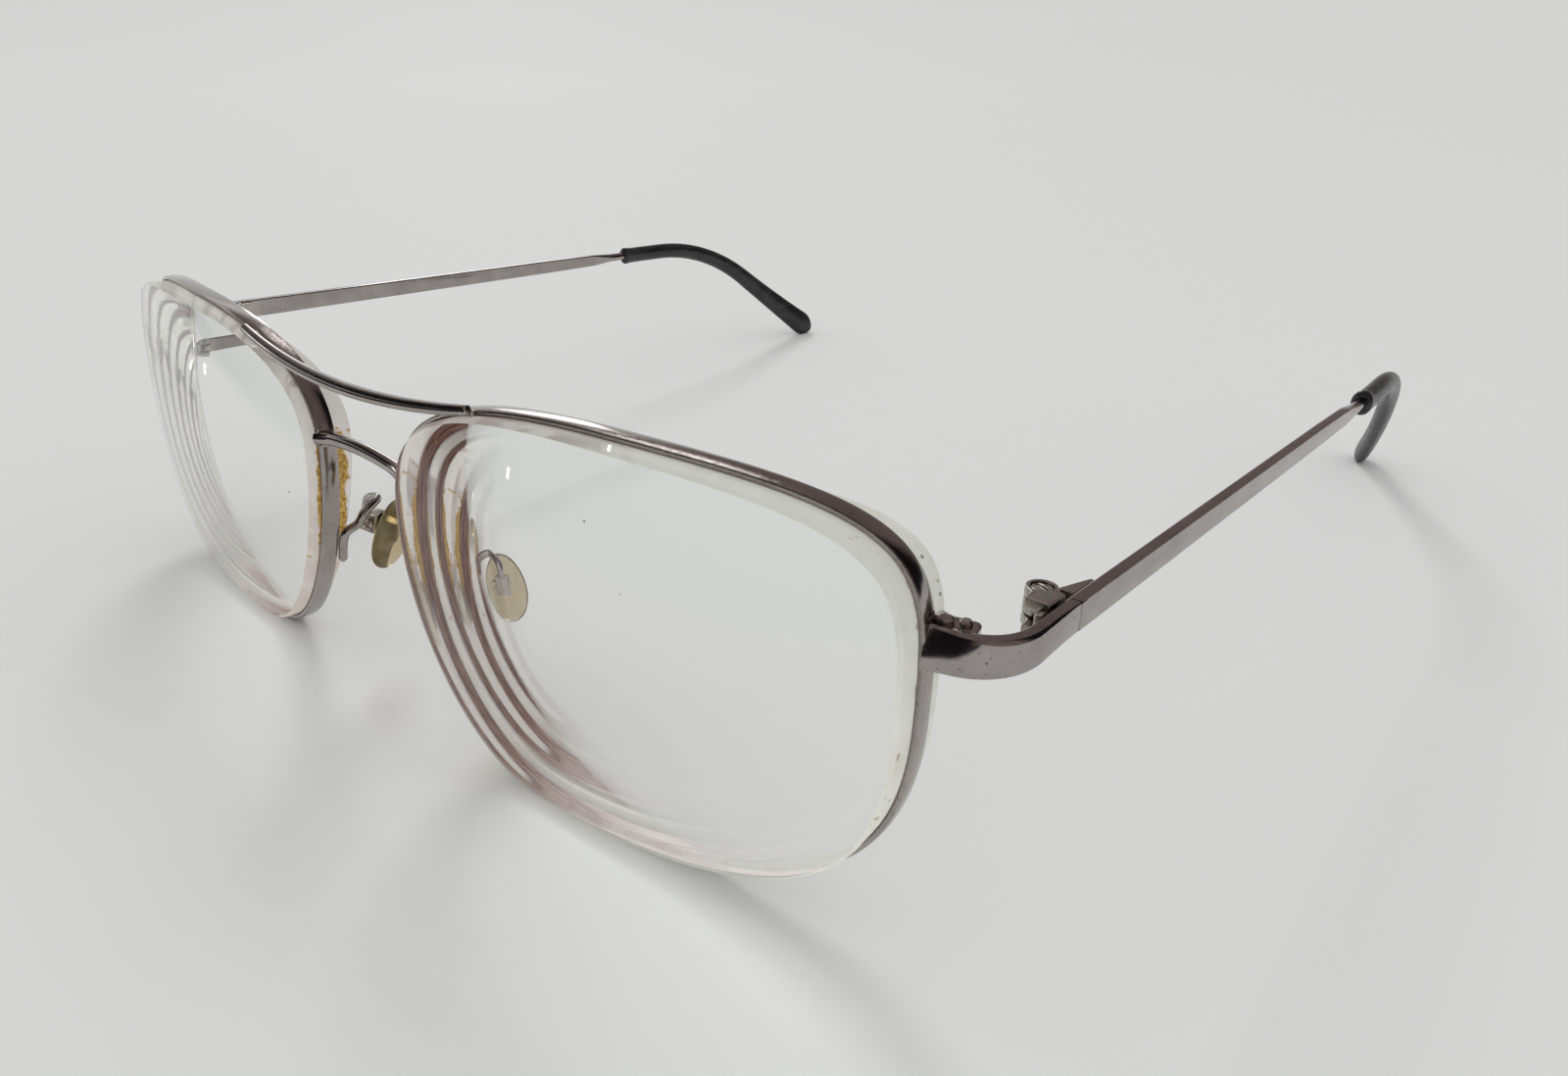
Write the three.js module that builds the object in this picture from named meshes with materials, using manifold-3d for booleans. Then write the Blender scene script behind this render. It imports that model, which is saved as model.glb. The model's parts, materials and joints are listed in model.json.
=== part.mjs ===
// Full-rim metal spectacles with a double bridge, thick minus lenses, three-knuckle hinges,
// screw-on nose pads and moulded temple tips. Millimetres, +Z up, +X the wearer's left, front to -Y.
//
// The glasses are drawn in their own frame: lens centres at height 0, the front upright, the
// temples level. The last lines lean that frame back until rims and tips share one table.

import * as THREE from 'three';
import { mergeVertices } from 'three/addons/utils/BufferGeometryUtils.js';
import Module from 'manifold-3d';

// Rim outline, seen from the front: four cubic curves between its extreme points.
const RIM_WIDTH = 57;
const RIM_HEIGHT = 39;
const TOP_AT = 0; // sideways place of the highest point, temporal positive
const BOTTOM_AT = -9; // sideways place of the lowest point
const TEMPORAL_AT = 2.5; // height of the outermost point
const NASAL_AT = 6.5; // height of the innermost point
const TOP_PULL = { temporal: 28, nasal: 25 }; // lengths of the curve handles
const BOTTOM_PULL = { temporal: 27, nasal: 10.5 };
const TEMPORAL_PULL = { up: 13.3, down: 16.5 };
const NASAL_PULL = { up: 6, down: 12 };

// Front
const RIM_GAP = 15.9; // between the two rims at the nose
const WRAP = THREE.MathUtils.degToRad(7.3); // each lens turns back this far at the temple
const RIM_DEPTH = 1.9; // front to back
const RIM_THICK = 0.5;
const RIM_ROUND = 0.12; // bevels, measured inwards
const RIM_CROWN = 0.35; // outer bevels, measured front to back
const GROOVE_DEPTH = 0.22;
const GROOVE_HALF = 0.4;
const RIM_SPLIT = 0.25; // gap that the closing screw pulls together
const SOLDER = 0.15; // film between brazed pieces
const RUNNING_GAP = 0.2; // between pieces that turn on each other
const SCREW_GAP = 0.1; // round a screw

// Lenses
const FRONT_RADIUS = 143; // of the front surface, which the rim follows
const BACK_RADIUS = 58;
const CENTRE_THICK = 1.7;
const OPTICAL_CENTRE = { side: -2, up: 0.5 }; // from the outline's centre
const LENS_GAP = 0.12;
const LENS_PROUD = 1.75; // front edge ahead of the rim's front
const LENS_TILT = 0.027; // more of that towards the temple, as a slope

// Brow bar and bridge
const BAR_RADIUS = { middle: 0.68, end: 0.5 };
const BAR_REACH = 20.7; // half length
const BAR_DIP = 1.8; // its middle below its ends
const BAR_CLEAR = 1; // middle ahead of the rims
const BRIDGE_TALL = 1.4;
const BRIDGE_DEPTH = 1.1;
const BRIDGE_FOOT = 1.9; // depth where it meets a rim
const BRIDGE_AHEAD = 0.45; // of the middle of the rim's depth
const BRIDGE_HEIGHT = 8.7; // at the rims
const BRIDGE_RISE = 0.7;
const BRIDGE_FLARE = 2.2; // length over which it widens to its foot
const BRIDGE_EDGE = 0.4; // chamfer

// End pieces, closing blocks and hinges
const END_HEIGHT = 9.3; // hinge and temple above the lens centre
const END_DROP = 0.5; // the rim's end of the strip below that
const END_REACH = 5.6; // from the rim out to the middle of the strip
const END_RAKE = THREE.MathUtils.degToRad(14);
const END_BEND = 5.2;
const END_BACK = 11.3; // from the rim's front back to the seam
const END_LAP = 0.4; // overlap on the rim, which is notched for it
const END_PROUD = 0.15; // front face ahead of the rim's front
const END_CROWN = { rim: 0.35, seam: 0.06 }; // edges of its front face behind the middle
const END_TALL = 3.5; // at the rim
const STRIP_TALL = 2.6; // at the seam
const STRIP_THICK = 1.2;
const STRIP_EDGE = 0.18; // chamfer
const BLOCK_END = 3.4; // from the strip's start
const BLOCK_SCREW = 1.05; // screw before that end
const BLOCK_DEPTH = 1.9;
const BLOCK_TALL = 1.4;
const BLOCK_ROUND = 0.65;
const CLOSING_SCREW_RADIUS = 0.5;
const SCREW_HEAD_EXTRA = 0.3; // head radius beyond the shank's
const SCREW_HEAD_TALL = 0.45;
const CLOSING_SCREW_PROUD = 0.4; // end that stands above the block
const BARREL_RADIUS = 1.3;
const BARREL_TALL = 3.2;
const KNUCKLE_TALL = 1.05; // middle knuckle
const HINGE_SCREW_RADIUS = 0.55;
const HINGE_BACK = 0.15; // axis ahead of the seam
const LEAF_THICK = 0.65;
const FRONT_LEAF_LENGTH = 2.2; // plate ahead of the barrel
const TEMPLE_LEAF_LENGTH = 3.4;
const LEAF_WEDGE = { heel: 1.4, toe: 0.3 }; // thickness behind the barrel and at the far end
const LEAF_TALL = 2.2;

// Temples and tips
const TEMPLE_LENGTH = 79; // seam to tip
const TEMPLE_TALL_BACK = 2.2; // before the neck
const NECK_LENGTH = 9; // over which the strip narrows to a round wire
const NECK_TALL = 2; // where the neck starts
const NECK_STUB = 2.2; // round part of the neck
const NECK_RADIUS = 0.7;
const CORE_RADIUS = 0.6; // wire inside the tip
const CORE_SHORT = 9; // wire ends this far before the tip does
const TIP_STRAIGHT = 10;
const TIP_BEND = 38;
const TIP_DROP = THREE.MathUtils.degToRad(37);
const TIP_TAIL = 22.5;
const TIP_INSET = 8; // how far the end is set towards the head
const TIP_THICK = 2.5;
const TIP_TALL = 2.9;
const TIP_PADDLE = 5.2; // height near the end
const TIP_ROUND = 3; // length of the rounded end
const TIP_MOUTH = { thick: 2, tall: 2.3 };
const TIP_COLLAR = { thick: 2.6, tall: 3.2, at: 0.5 }; // widest just behind the mouth

// Nose pads, turned to the sides of the nose
const PAD_HALF_SPACING = 11.2; // pivot from the middle
const PAD_BEHIND = 3.4; // pivot behind the lens's nasal edge
const PAD_LOW = 3.7; // pivot below the lens centre
const PAD_SPLAY = THREE.MathUtils.degToRad(30); // seen from above
const PAD_FLARE = THREE.MathUtils.degToRad(17); // seen from the front
const PAD_LENGTH = 8.8;
const PAD_WIDTH = 7;
const PAD_THICK = 2.2;
const PAD_OFF = 1.45; // back face from the pivot
const PAD_DROP = 0.8; // middle of the pad below the pivot
const PAD_TAPER = 0.1; // narrower above the middle and wider below it, by this share
const PAD_PROFILE = [[0.6, 0], [0.9, 0.12], [1, 0.4], [0.95, 0.7], [0.75, 0.92], [0.4, 1]]; // width, depth
const PAD_SLOT = 1; // depth of the slot that the lug is moulded into
const LUG_THICK = 0.9;
const LUG_TALL = 1.5;
const BOX_WALL = 0.45;
const BOX_TALL = 2.3;
const BOX_LIP = 0.75; // walls past the pivot, towards the pad
const PAD_SCREW_RADIUS = 0.35;
const PAD_SCREW_HEAD = 0.65;
const ARM_RADIUS = 0.5;
const ARM_FOOT = 4; // length of the foot along the rim
const ARM_FOOT_LOW = 7.2; // foot's lower end below the lens centre
const ARM_OUT = 0.1; // foot's middle outside the rim's outer edge
const ARM_CLIMB = [1, 2.2]; // above the foot: beside the lens edge, then behind it
const ARM_LEG = 1.1; // upright end above the box
const ARM_ARCH = { nose: 3, front: 0.2, up: 0.5 }; // top of the arch from that leg

// Facets, and where the rings of a surface lie as shares of its outline
const RIM_STEPS = 60;
const LENS_FRONT_RINGS = [0.35, 0.7, 1];
const LENS_BACK_RINGS = [1, 0.9, 0.75, 0.55, 0.3];
const ROUND_SIDES = 24;
const PIN_SIDES = 10;
const WIRE_SIDES = 8;
const CORNER_STEPS = 6;
const BAR_SIDES = 12;
const BAR_STATIONS = 23;
const BRIDGE_STATIONS = 13;
const END_STEPS = 7;
const CORE_STEPS = 12;
const TIP_SIDES = 12;
const TIP_STEPS = 14;
const TIP_END_ANGLES = [30, 55, 75];
const PAD_SIDES = 20;
const ARM_STEPS = 26;
const CUT_PAST = 1; // cutting bodies run this far past what they cut

const metal = (color) => new THREE.MeshStandardMaterial({ color, roughness: 0.25, metalness: 1 });
const gunmetal = metal(0x6f6a68);
const steel = metal(0x9a9894);
const glass = new THREE.MeshStandardMaterial({ color: 0xe9eee6, roughness: 0.05, metalness: 0 });
const black = new THREE.MeshStandardMaterial({ color: 0x111214, roughness: 0.3, metalness: 0 });
const silicone = new THREE.MeshStandardMaterial({ color: 0xd9cf9f, roughness: 0.35, metalness: 0 });

// Solids

const wasm = await Module();
wasm.setup();

const vec = (x, y, z) => new THREE.Vector3(x, y, z);

function signedVolume(points, triangles) {
  let six = 0;
  for (let i = 0; i < triangles.length; i += 3) {
    const [a, b, c] = [0, 1, 2].map((k) => points[triangles[i + k]]);
    six += a.dot(b.clone().cross(c));
  }
  return six / 6;
}

// Closed skin over rings of points. A loop joins the last ring to the first; otherwise an end runs
// to its pole, or is a flat cap.
function skin(rings, { loop = false, startPole, endPole, contour } = {}) {
  const count = rings[0].length;
  const points = rings.flat();
  const triangles = [];
  const at = (ring, k) => (ring % rings.length) * count + (k % count);
  for (let r = 0; r < rings.length - (loop ? 0 : 1); r += 1) {
    for (let k = 0; k < count; k += 1) {
      triangles.push(at(r, k), at(r, k + 1), at(r + 1, k));
      triangles.push(at(r, k + 1), at(r + 1, k + 1), at(r + 1, k));
    }
  }
  const close = (ring, pole, flip) => {
    let faces;
    if (pole) {
      points.push(pole);
      faces = Array.from({ length: count }, (_, k) => [points.length - 1, at(ring, k + 1), at(ring, k)]);
    } else {
      const outline = contour ?? Array.from({ length: count }, (_, k) => {
        const angle = (-2 * Math.PI * k) / count;
        return new THREE.Vector2(Math.cos(angle), Math.sin(angle));
      });
      faces = THREE.ShapeUtils.triangulateShape(outline, []).map((face) => face.map((k) => at(ring, k)));
      const turn = THREE.ShapeUtils.isClockWise(outline) ? 1 : -1;
      if (turn < 0) faces = faces.map(([a, b, c]) => [a, c, b]);
    }
    faces.forEach(([a, b, c]) => triangles.push(...(flip ? [a, c, b] : [a, b, c])));
  };
  if (!loop) {
    close(0, startPole, false);
    close(rings.length - 1, endPole, true);
  }
  if (signedVolume(points, triangles) < 0) triangles.reverse();
  const geometry = new THREE.BufferGeometry().setFromPoints(points);
  return geometry.setIndex(triangles);
}

function bare(geometry) {
  const plain = geometry.clone();
  plain.deleteAttribute('normal');
  plain.deleteAttribute('uv');
  return mergeVertices(plain);
}

function toSolid(geometry) {
  const plain = bare(geometry);
  const vertProperties = Float32Array.from(plain.attributes.position.array);
  const triVerts = Uint32Array.from(plain.index.array);
  return new wasm.Manifold(new wasm.Mesh({ numProp: 3, vertProperties, triVerts }));
}

function toGeometry(solid) {
  const { vertProperties, triVerts } = solid.getMesh();
  const geometry = new THREE.BufferGeometry();
  geometry.setAttribute('position', new THREE.BufferAttribute(vertProperties, 3));
  return geometry.setIndex(new THREE.BufferAttribute(triVerts, 1));
}

const join = (first, ...rest) =>
  toGeometry(rest.reduce((sum, g) => sum.add(toSolid(g)), toSolid(first)));
const cut = (first, ...rest) =>
  toGeometry(rest.reduce((sum, g) => sum.subtract(toSolid(g)), toSolid(first)));

function mirrored(geometry) {
  const copy = bare(geometry).scale(-1, 1, 1);
  return copy.setIndex(Array.from(copy.index.array).reverse());
}

const block = (low, high) => {
  const size = high.clone().sub(low);
  const middle = low.clone().add(high).multiplyScalar(0.5);
  return new THREE.BoxGeometry(size.x, size.y, size.z).translate(middle.x, middle.y, middle.z);
};

// Upright cylinder from one height to another
const post = (radius, x, y, low, high) =>
  new THREE.CylinderGeometry(radius, radius, high - low, ROUND_SIDES)
    .rotateX(Math.PI / 2)
    .translate(x, y, (low + high) / 2);

// Cylinder along X from one place to another
const pin = (radius, low, high) =>
  new THREE.CylinderGeometry(radius, radius, high - low, PIN_SIDES)
    .rotateZ(Math.PI / 2)
    .translate((low + high) / 2, 0, 0);

// Place from low to high where a test that is true at low stops being true, found by halving
function turningPoint(low, high, test) {
  const fine = 1e-10;
  let [yes, no] = [low, high];
  while (no - yes > fine) {
    const middle = (yes + no) / 2;
    if (test(middle)) yes = middle;
    else no = middle;
  }
  return yes;
}

// Even steps from -1 to 1
const spread = (count) => Array.from({ length: count }, (_, k) => (2 * k) / (count - 1) - 1);

function wire(curve, radius, steps, sides) {
  const section = new THREE.Shape().absarc(0, 0, radius, 0, 2 * Math.PI);
  const options = { steps, curveSegments: sides / 2, bevelEnabled: false, extrudePath: curve };
  return new THREE.ExtrudeGeometry(section, options);
}

const ringOf = (pairs, centre, across, up) =>
  pairs.map(([a, b]) => centre.clone().addScaledVector(across, a).addScaledVector(up, b));

// Ring of an oblong section: a rectangle with cut corners
function oblong(centre, across, up, thick, tall, corner) {
  const [t, h] = [thick / 2, tall / 2];
  const pairs = [
    [t, h - corner], [t - corner, h], [corner - t, h], [-t, h - corner],
    [-t, corner - h], [corner - t, -h], [t - corner, -h], [t, corner - h],
  ];
  return ringOf(pairs, centre, across, up);
}

// The same with a crowned front, whose upper and lower edges lie behind its middle
function crowned(centre, across, up, thick, tall, corner, crown) {
  const [t, h] = [thick / 2, tall / 2];
  const pairs = [
    [t, h - corner], [t - corner, h], [crown + corner - t, h], [crown - t, h - corner],
    [crown / 4 - t, h / 2], [-t, 0], [crown / 4 - t, -h / 2],
    [crown - t, corner - h], [crown + corner - t, -h], [t - corner, -h], [t, corner - h],
  ];
  return ringOf(pairs, centre, across, up);
}

// Rim outline and the curved surface that it lies on

const outline = new THREE.Path();
outline.moveTo(TOP_AT, RIM_HEIGHT / 2);
outline.bezierCurveTo(
  TOP_AT + TOP_PULL.temporal, RIM_HEIGHT / 2,
  RIM_WIDTH / 2, TEMPORAL_AT + TEMPORAL_PULL.up,
  RIM_WIDTH / 2, TEMPORAL_AT,
);
outline.bezierCurveTo(
  RIM_WIDTH / 2, TEMPORAL_AT - TEMPORAL_PULL.down,
  BOTTOM_AT + BOTTOM_PULL.temporal, -RIM_HEIGHT / 2,
  BOTTOM_AT, -RIM_HEIGHT / 2,
);
outline.bezierCurveTo(
  BOTTOM_AT - BOTTOM_PULL.nasal, -RIM_HEIGHT / 2,
  -RIM_WIDTH / 2, NASAL_AT - NASAL_PULL.down,
  -RIM_WIDTH / 2, NASAL_AT,
);
outline.bezierCurveTo(
  -RIM_WIDTH / 2, NASAL_AT + NASAL_PULL.up,
  TOP_AT - TOP_PULL.nasal, RIM_HEIGHT / 2,
  TOP_AT, RIM_HEIGHT / 2,
);
const topToBottom = outline.getCurveLengths()[1] / outline.getLength(); // share of the way round
const topToNose = (1 + topToBottom) / 2;

function outlineAt(share) {
  const u = ((share % 1) + 1) % 1;
  const point = outline.getPoint(u);
  const tangent = outline.getTangent(u);
  return { point, normal: new THREE.Vector2(-tangent.y, tangent.x) };
}

// Share of the outline where a falling or rising stretch passes a height
function shareAtHeight(height, from, to) {
  const falling = outlineAt(from).point.y > outlineAt(to).point.y;
  return turningPoint(from, to, (share) => (outlineAt(share).point.y > height) === falling);
}

const sag = (radius, side, up) => radius - Math.sqrt(radius ** 2 - side ** 2 - up ** 2);
const lensX = RIM_GAP / 2 + (RIM_WIDTH / 2) * Math.cos(WRAP);

// Point of the left lens: sideways and up from its centre, depth behind the rim's front
function onLens(side, up, depth) {
  const back = depth + sag(FRONT_RADIUS, side, up);
  return vec(side, back, up).applyAxisAngle(vec(0, 0, 1), WRAP).add(vec(lensX, 0, 0));
}

// Point beside the rim: out from its outer edge, back from its front
function onRim(share, out, depth) {
  const { point, normal } = outlineAt(share);
  const place = onLens(point.x, point.y, depth);
  const lean = vec(normal.x * Math.cos(WRAP), normal.x * Math.sin(WRAP), normal.y);
  return place.addScaledVector(lean, out);
}

// Rim: grooved wire round the lens, split where the closing screw pulls it together, and notched for
// the end piece there

const splitHeight = END_HEIGHT - END_DROP;
const splitShare = shareAtHeight(splitHeight, 0, topToBottom);
const splitHalf = RIM_SPLIT / 2 / outline.getLength();
const shares = Array.from({ length: RIM_STEPS }, (_, k) => splitShare + k / RIM_STEPS);

const rimProfile = [
  [-RIM_THICK, RIM_ROUND], [-RIM_THICK + RIM_ROUND, 0], [-RIM_ROUND, 0], [0, RIM_CROWN],
  [0, RIM_DEPTH - RIM_CROWN], [-RIM_ROUND, RIM_DEPTH], [-RIM_THICK + RIM_ROUND, RIM_DEPTH],
  [-RIM_THICK, RIM_DEPTH - RIM_ROUND], [-RIM_THICK, RIM_DEPTH / 2 + GROOVE_HALF],
  [-RIM_THICK + GROOVE_DEPTH, RIM_DEPTH / 2], [-RIM_THICK, RIM_DEPTH / 2 - GROOVE_HALF],
];

function makeRim() {
  const stops = [splitShare + splitHalf, ...shares.slice(1), splitShare + 1 - splitHalf];
  const rings = stops.map((share) => rimProfile.map(([out, depth]) => onRim(share, out, depth)));
  const whole = skin(rings, { contour: rimProfile.map(([out, depth]) => new THREE.Vector2(out, depth)) });
  return cut(whole, makeEndPiece(SOLDER));
}

// Lens: shallow convex front, deep concave back, thick edge with a bevel that sits in the groove

const lensIn = RIM_THICK + LENS_GAP;
const frontDepth = (side) => -LENS_PROUD - LENS_TILT * side;
const backDepth = (side, up) =>
  frontDepth(side) + CENTRE_THICK
  + sag(BACK_RADIUS, side - OPTICAL_CENTRE.side, up - OPTICAL_CENTRE.up) - sag(FRONT_RADIUS, side, up);

function makeLens() {
  const edge = shares.map((share) => {
    const { point, normal } = outlineAt(share);
    return point.clone().addScaledVector(normal, -lensIn);
  });
  const shrunk = (share, depthAt) => edge.map(({ x, y }) => {
    const [side, up] = [x * share, y * share];
    return onLens(side, up, depthAt(side, up));
  });
  const bevelHalf = GROOVE_HALF - LENS_GAP;
  const bevel = (out, depth) => shares.map((share) => onRim(share, out - lensIn, depth));
  const rings = [
    ...LENS_FRONT_RINGS.map((share) => shrunk(share, frontDepth)),
    bevel(0, RIM_DEPTH / 2 - bevelHalf),
    bevel(GROOVE_DEPTH - LENS_GAP / 2, RIM_DEPTH / 2),
    bevel(0, RIM_DEPTH / 2 + bevelHalf),
    ...LENS_BACK_RINGS.map((share) => shrunk(share, backDepth)),
  ];
  const startPole = onLens(0, 0, frontDepth(0));
  const endPole = onLens(0, 0, backDepth(0, 0));
  return skin(rings, { startPole, endPole });
}

// Brow bar: a tapered round bar that dips between the rims, brazed to their upper front edges

function makeBrowBar() {
  const endShare = turningPoint(topToNose, 1, (share) => onRim(share, 0, 0).x < BAR_REACH);
  const rimAtEnd = onRim(endShare, 0, 0);
  const middleHeight = rimAtEnd.z - BAR_DIP;
  const rimAtNose = onRim(shareAtHeight(middleHeight, topToNose, 1), 0, 0);
  const endBack = rimAtEnd.y - SOLDER - BAR_RADIUS.end;
  const middleBack = rimAtNose.y - BAR_CLEAR - BAR_RADIUS.middle;
  const rings = spread(BAR_STATIONS).map((k) => {
    const bow = vec(0, endBack - middleBack, BAR_DIP);
    const centre = vec(k * BAR_REACH, middleBack, middleHeight).addScaledVector(bow, k * k);
    const along = vec(BAR_REACH, 0, 0).addScaledVector(bow, 2 * k).normalize();
    const up = along.clone().cross(vec(0, 1, 0)).normalize();
    const across = up.clone().cross(along);
    const radius = THREE.MathUtils.lerp(BAR_RADIUS.middle, BAR_RADIUS.end, k * k);
    const pairs = Array.from({ length: BAR_SIDES }, (_, side) => {
      const angle = (2 * Math.PI * side) / BAR_SIDES;
      return [radius * Math.cos(angle), radius * Math.sin(angle)];
    });
    return ringOf(pairs, centre, across, up);
  });
  return skin(rings);
}

// Bridge: an arch between the nasal sides of the rims, flared where it is brazed on

const bridgeShare = shareAtHeight(BRIDGE_HEIGHT, topToNose, 1);

function makeBridge() {
  const foot = onRim(bridgeShare, SOLDER, RIM_DEPTH / 2 - BRIDGE_AHEAD);
  const rings = spread(BRIDGE_STATIONS).map((k) => {
    const flare = Math.max(0, 1 - (1 - Math.abs(k)) * (foot.x / BRIDGE_FLARE));
    const centre = vec(k * foot.x, foot.y, BRIDGE_HEIGHT + BRIDGE_RISE * (1 - k * k));
    const slope = Math.atan2(-2 * BRIDGE_RISE * k, foot.x);
    const across = vec(-Math.tan(WRAP) * Math.sign(k) * flare, 1, 0);
    const up = vec(-Math.sin(slope), 0, Math.cos(slope)).lerp(vec(0, 0, 1), flare);
    const deep = THREE.MathUtils.lerp(BRIDGE_DEPTH, BRIDGE_FOOT, flare);
    return oblong(centre, across, up, deep, BRIDGE_TALL, BRIDGE_EDGE);
  });
  return skin(rings);
}

// End piece: a strip that leaves the rim's front, bends back and ends at the seam; grown on all sides
// it cuts its seat

const rimAt = (height) => onRim(shareAtHeight(height, 0, topToBottom), 0, 0).x; // at the temple
const rimSide = onRim(splitShare, 0, 0);
const stripX = rimSide.x + END_REACH;
const seamY = rimSide.y + END_BACK;
const stripStart = vec(rimSide.x - END_LAP, rimSide.y + STRIP_THICK / 2 - END_PROUD, splitHeight);
const rakeAcross = vec(-Math.sin(END_RAKE), Math.cos(END_RAKE), 0);
const rakeAlong = vec(Math.cos(END_RAKE), Math.sin(END_RAKE), 0);

function makeEndPiece(grow = 0) {
  const straight = (stripX - stripStart.x - END_BEND * (1 - Math.sin(END_RAKE))) / Math.cos(END_RAKE);
  const bendStart = stripStart.clone().addScaledVector(rakeAlong, straight);
  const stations = [{ centre: stripStart, across: vec(0, 1, 0) }];
  for (let k = 0; k <= END_STEPS; k += 1) {
    const heading = THREE.MathUtils.lerp(END_RAKE, Math.PI / 2, k / END_STEPS);
    const centre = vec(
      bendStart.x + END_BEND * (Math.sin(heading) - Math.sin(END_RAKE)),
      bendStart.y + END_BEND * (Math.cos(END_RAKE) - Math.cos(heading)),
      splitHeight,
    );
    stations.push({ centre, across: vec(-Math.sin(heading), Math.cos(heading), 0) });
  }
  stations.push({ centre: vec(stripX, seamY, splitHeight), across: vec(-1, 0, 0) });
  const rings = stations.map(({ centre, across }) => {
    const share = (centre.y - stripStart.y) / (seamY - stripStart.y);
    const tall = THREE.MathUtils.lerp(END_TALL, STRIP_TALL, Math.sqrt(share)) + 2 * grow;
    const crown = THREE.MathUtils.lerp(END_CROWN.rim, END_CROWN.seam, share);
    const lifted = centre.clone().add(vec(0, 0, END_DROP * THREE.MathUtils.smoothstep(share, 0, 1)));
    return crowned(lifted, across, vec(0, 0, 1), STRIP_THICK + 2 * grow, tall, STRIP_EDGE, crown);
  });
  rings[0].forEach((point) => {
    point.x = rimAt(point.z) - END_LAP - grow;
  });
  return skin(rings);
}

// Closing blocks: two halves behind the end piece, one on each end of the split rim

const behindStrip = (along, across) => stripStart.clone()
  .addScaledVector(rakeAlong, along)
  .addScaledVector(rakeAcross, STRIP_THICK / 2 + RUNNING_GAP + across);
const besideRim = (x, across) => {
  const line = behindStrip(0, across);
  return vec(x, line.y + (x - line.x) * Math.tan(END_RAKE), 0);
};
const blockScrew = behindStrip(BLOCK_END - BLOCK_SCREW, BLOCK_DEPTH / 2);

function makeClosingBlock(low, high) {
  const nearX = rimAt(splitHeight + low) + SOLDER;
  const [near, far] = [besideRim(nearX, 0), behindStrip(BLOCK_END, 0)];
  const beforeRound = behindStrip(BLOCK_END, BLOCK_DEPTH - BLOCK_ROUND);
  const corner = behindStrip(BLOCK_END, BLOCK_DEPTH);
  const afterRound = behindStrip(BLOCK_END - BLOCK_ROUND, BLOCK_DEPTH);
  const nearBack = besideRim(nearX, BLOCK_DEPTH);
  const shape = new THREE.Shape();
  shape.moveTo(near.x, near.y);
  shape.lineTo(far.x, far.y);
  shape.lineTo(beforeRound.x, beforeRound.y);
  shape.quadraticCurveTo(corner.x, corner.y, afterRound.x, afterRound.y);
  shape.lineTo(nearBack.x, nearBack.y);
  const hole = new THREE.Path();
  hole.absarc(blockScrew.x, blockScrew.y, CLOSING_SCREW_RADIUS + SCREW_GAP, 0, 2 * Math.PI, true);
  shape.holes.push(hole);
  const options = { depth: high - low, bevelEnabled: false, curveSegments: CORNER_STEPS };
  return new THREE.ExtrudeGeometry(shape, options).translate(0, 0, splitHeight + low);
}

function makeClosingScrew() {
  const top = splitHeight + RIM_SPLIT / 2 + BLOCK_TALL + CLOSING_SCREW_PROUD;
  const seat = splitHeight - RIM_SPLIT / 2 - BLOCK_TALL - SCREW_GAP;
  const shank = post(CLOSING_SCREW_RADIUS, blockScrew.x, blockScrew.y, seat - SCREW_HEAD_TALL / 2, top);
  const headRadius = CLOSING_SCREW_RADIUS + SCREW_HEAD_EXTRA;
  const head = post(headRadius, blockScrew.x, blockScrew.y, seat - SCREW_HEAD_TALL, seat);
  return join(shank, head);
}

// Hinge: two outer knuckles on the end piece, one middle knuckle on the temple, a screw through all

const leafOuter = stripX - STRIP_THICK / 2 - SOLDER;
const leafInner = leafOuter - LEAF_THICK;
const hingeX = leafInner - BARREL_RADIUS;
const hingeY = seamY - HINGE_BACK;
const barrelLow = END_HEIGHT - BARREL_TALL / 2;
const barrelHigh = END_HEIGHT + BARREL_TALL / 2;
const middleLow = END_HEIGHT - KNUCKLE_TALL / 2;
const middleHigh = END_HEIGHT + KNUCKLE_TALL / 2;
const hingeBore = HINGE_SCREW_RADIUS + SCREW_GAP;
const hingeHead = HINGE_SCREW_RADIUS + SCREW_HEAD_EXTRA;

function makeFrontLeaf() {
  const plateBack = hingeY - BARREL_RADIUS - RUNNING_GAP;
  const plateLow = END_HEIGHT - LEAF_TALL / 2;
  const plate = block(
    vec(leafInner, plateBack - FRONT_LEAF_LENGTH, plateLow),
    vec(leafOuter, plateBack, plateLow + LEAF_TALL),
  );
  const knuckle = (low, high) => join(
    post(BARREL_RADIUS, hingeX, hingeY, low, high),
    block(vec(hingeX, plateBack - FRONT_LEAF_LENGTH / 2, low), vec(leafOuter, hingeY, high)),
  );
  const upper = knuckle(middleHigh + RUNNING_GAP, barrelHigh);
  const lower = knuckle(barrelLow, middleLow - RUNNING_GAP);
  const sinkLow = barrelHigh - SCREW_HEAD_TALL;
  const sink = post(hingeHead + SCREW_GAP, hingeX, hingeY, sinkLow, barrelHigh + CUT_PAST);
  const bore = post(hingeBore, hingeX, hingeY, barrelLow - CUT_PAST, barrelHigh + CUT_PAST);
  return cut(join(plate, upper, lower), bore, sink);
}

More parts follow.
